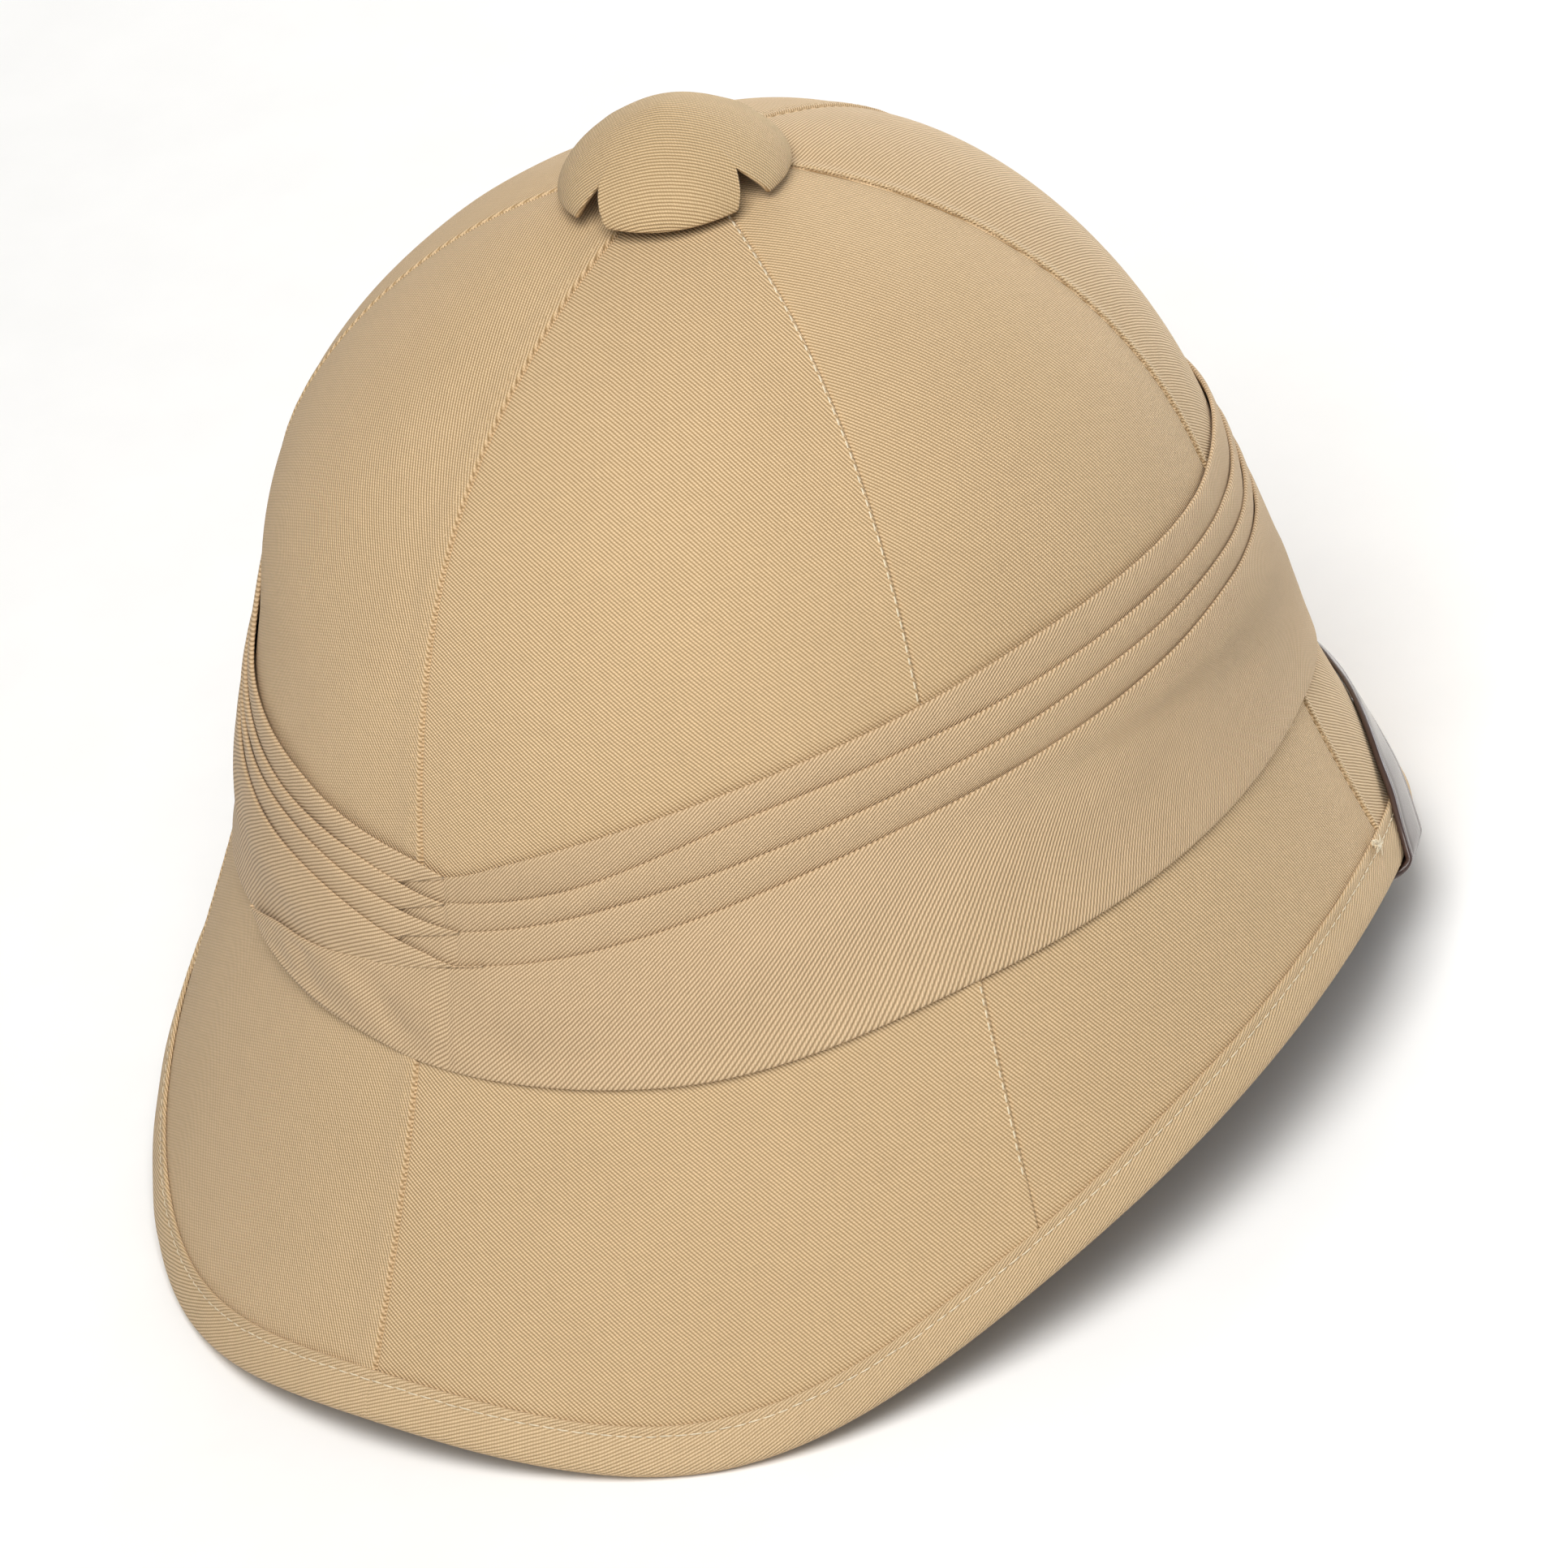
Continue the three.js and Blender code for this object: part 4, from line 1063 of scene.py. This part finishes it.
def add_camera():
    back, right, up = view_axes()
    # turn the camera, instead of shifting it, so that the aim point falls on its pixel
    dx, dy = AIM_PIXEL[0] - FRAME_PX / 2, FRAME_PX / 2 - AIM_PIXEL[1]
    focal = FAR * PX_PER_MM
    new_back = unit(back * focal + right * dx + up * dy)
    new_right = unit(np.cross(up, new_back))
    axes = tilted([new_right, np.cross(new_back, new_right), new_back], REST_TILT)
    cam = bpy.data.cameras.new("photo_camera")
    cam.sensor_width = SENSOR
    cam.sensor_fit = "HORIZONTAL"
    cam.lens = SENSOR * focal / FRAME_PX
    cam.clip_end = 50
    obj = add_object("photo_camera", cam)
    eye = to_rest(AIM + back * FAR)
    obj.matrix_world = Matrix([[*turn, at] for turn, at in zip(axes.T, eye)] + [[0, 0, 0, 1]])
    bpy.context.scene.camera = obj
    return obj


# Floor and light
FLOOR_HALF = 6.0
# of each light: place to the camera's right, up and back of the helmet's middle, side, power and colour
LIGHTS = {
    "key": ((-0.25, 0.58, 1.3), 0.9, 21, (1.0, 0.985, 0.96)),
    "front_right": ((0.45, 0.7, 1.2), 0.9, 1.2, (1, 1, 1)),
    "right_back": ((1.1, 0.75, -0.75), 0.9, 18.5, (0.9, 0.95, 1.0)),
    "top_back": ((0.12, 1.15, -0.92), 1.0, 13.5, (1.0, 0.985, 0.95)),
    "low_front": ((-0.5, -0.3, 1.35), 0.9, 3.2, (1.0, 0.985, 0.96)),
}
MIDDLE = Vector((0, 0, 0.11))
WORLD_LIGHT = 0.155


def add_floor():
    corners = [[x * FLOOR_HALF, y * FLOOR_HALF, 0] for x, y in ((-1, -1), (1, -1), (1, 1), (-1, 1))]
    floor = make_mesh("floor", corners, [[0, 1, 2, 3]])
    s = Surface("floor_paper")
    paper = s.ramp(s.noise(s.place(), 40, 3.0), [(0.3, grey(0.93)), (0.7, grey(0.95))])
    floor.data.materials.append(s.shade({"Base Color": paper, "Roughness": 0.9, "Specular IOR Level": 0.1}))


def add_lights(camera):
    for name, (place, side, power, color) in LIGHTS.items():
        light = bpy.data.lights.new(name, "AREA")
        light.shape = "RECTANGLE"
        light.size, light.size_y = side, side
        light.energy = power
        light.color = color
        obj = add_object(name, light)
        obj.location = MIDDLE + camera.matrix_world.to_3x3() @ Vector(place)
        obj.rotation_euler = (MIDDLE - obj.location).to_track_quat("-Z", "Y").to_euler()
    world = bpy.data.worlds.new("studio")
    world.use_nodes = True
    background = world.node_tree.nodes["Background"]
    background.inputs["Color"].default_value = (1, 1, 1, 1)
    background.inputs["Strength"].default_value = WORLD_LIGHT
    bpy.context.scene.world = world
    bpy.context.scene.view_settings.view_transform = "Standard"
    bpy.context.scene.view_settings.look = "None"


# The helmet put together
camera = add_camera()
_, view_right, _ = view_axes()

# each twill's second, darker colour (CLOTH_SHADE, BAND_SHADE and the like) is the painted shade of its grooves
CLOTH = (0.76, 0.56, 0.34)
CLOTH_SHADE = (0.36, 0.235, 0.11)
BAND = (0.73, 0.54, 0.34)
BAND_SHADE = (0.34, 0.228, 0.118)
CREAM = (0.84, 0.72, 0.52)

cover_twill = twill("cover_twill", CLOTH, CLOTH_SHADE, -TWILL_TURN)
band_twill = twill("band_twill", BAND, BAND_SHADE, 33)
tape_twill = twill("tape_twill", (0.74, 0.55, 0.34), (0.40, 0.275, 0.14), 24)
cap_twill = twill("cap_twill", (0.72, 0.53, 0.31), (0.34, 0.225, 0.105), 8, pitch=0.76, depth=0.26)
seam_thread = thread_material("seam_thread", CREAM)
cloth_thread = thread_material("cloth_thread", (0.68, 0.5, 0.29))
strap_leather = leather_material()
brass = brass_material()

cover = build_cover()
band = build_band()
tape = build_binding()
tape_stitches = build_binding_stitches()
seam_stitches = build_seam_stitches("seam_stitches", (0, 120, 180, 240, 300))
pale_stitches = build_seam_stitches("seam_stitches_pale", (60,))
dome = build_cap(view_right)
strap = build_strap()
knot = build_knot()

dressed = (
    (cover, cover_twill, "cover_cloth", ["helmet_body"]),
    (band, band_twill, "band_cloth", ["puggaree_band"]),
    (tape, tape_twill, "binding_cloth", ["brim_binding"]),
    (tape_stitches, seam_thread, "binding_cloth", []),
    (seam_stitches, cloth_thread, "cover_cloth", []),
    (pale_stitches, seam_thread, "cover_cloth", []),
    (dome, cap_twill, "cap_cloth", ["ventilator_cap"]),
    (strap, strap_leather, "strap_leather", ["chin_strap"]),
    (knot, seam_thread, "binding_cloth", []),
)
for piece, material, slot, nodes in dressed:
    piece.data.materials.append(material)
    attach(piece, "root")
    if nodes:
        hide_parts(*nodes)
for node in ("cap_post", "strap_stud_right", "strap_stud_left"):
    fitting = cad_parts[node]
    fitting.data.materials.clear()
    fitting.data.materials.append(brass)

add_floor()
add_lights(camera)
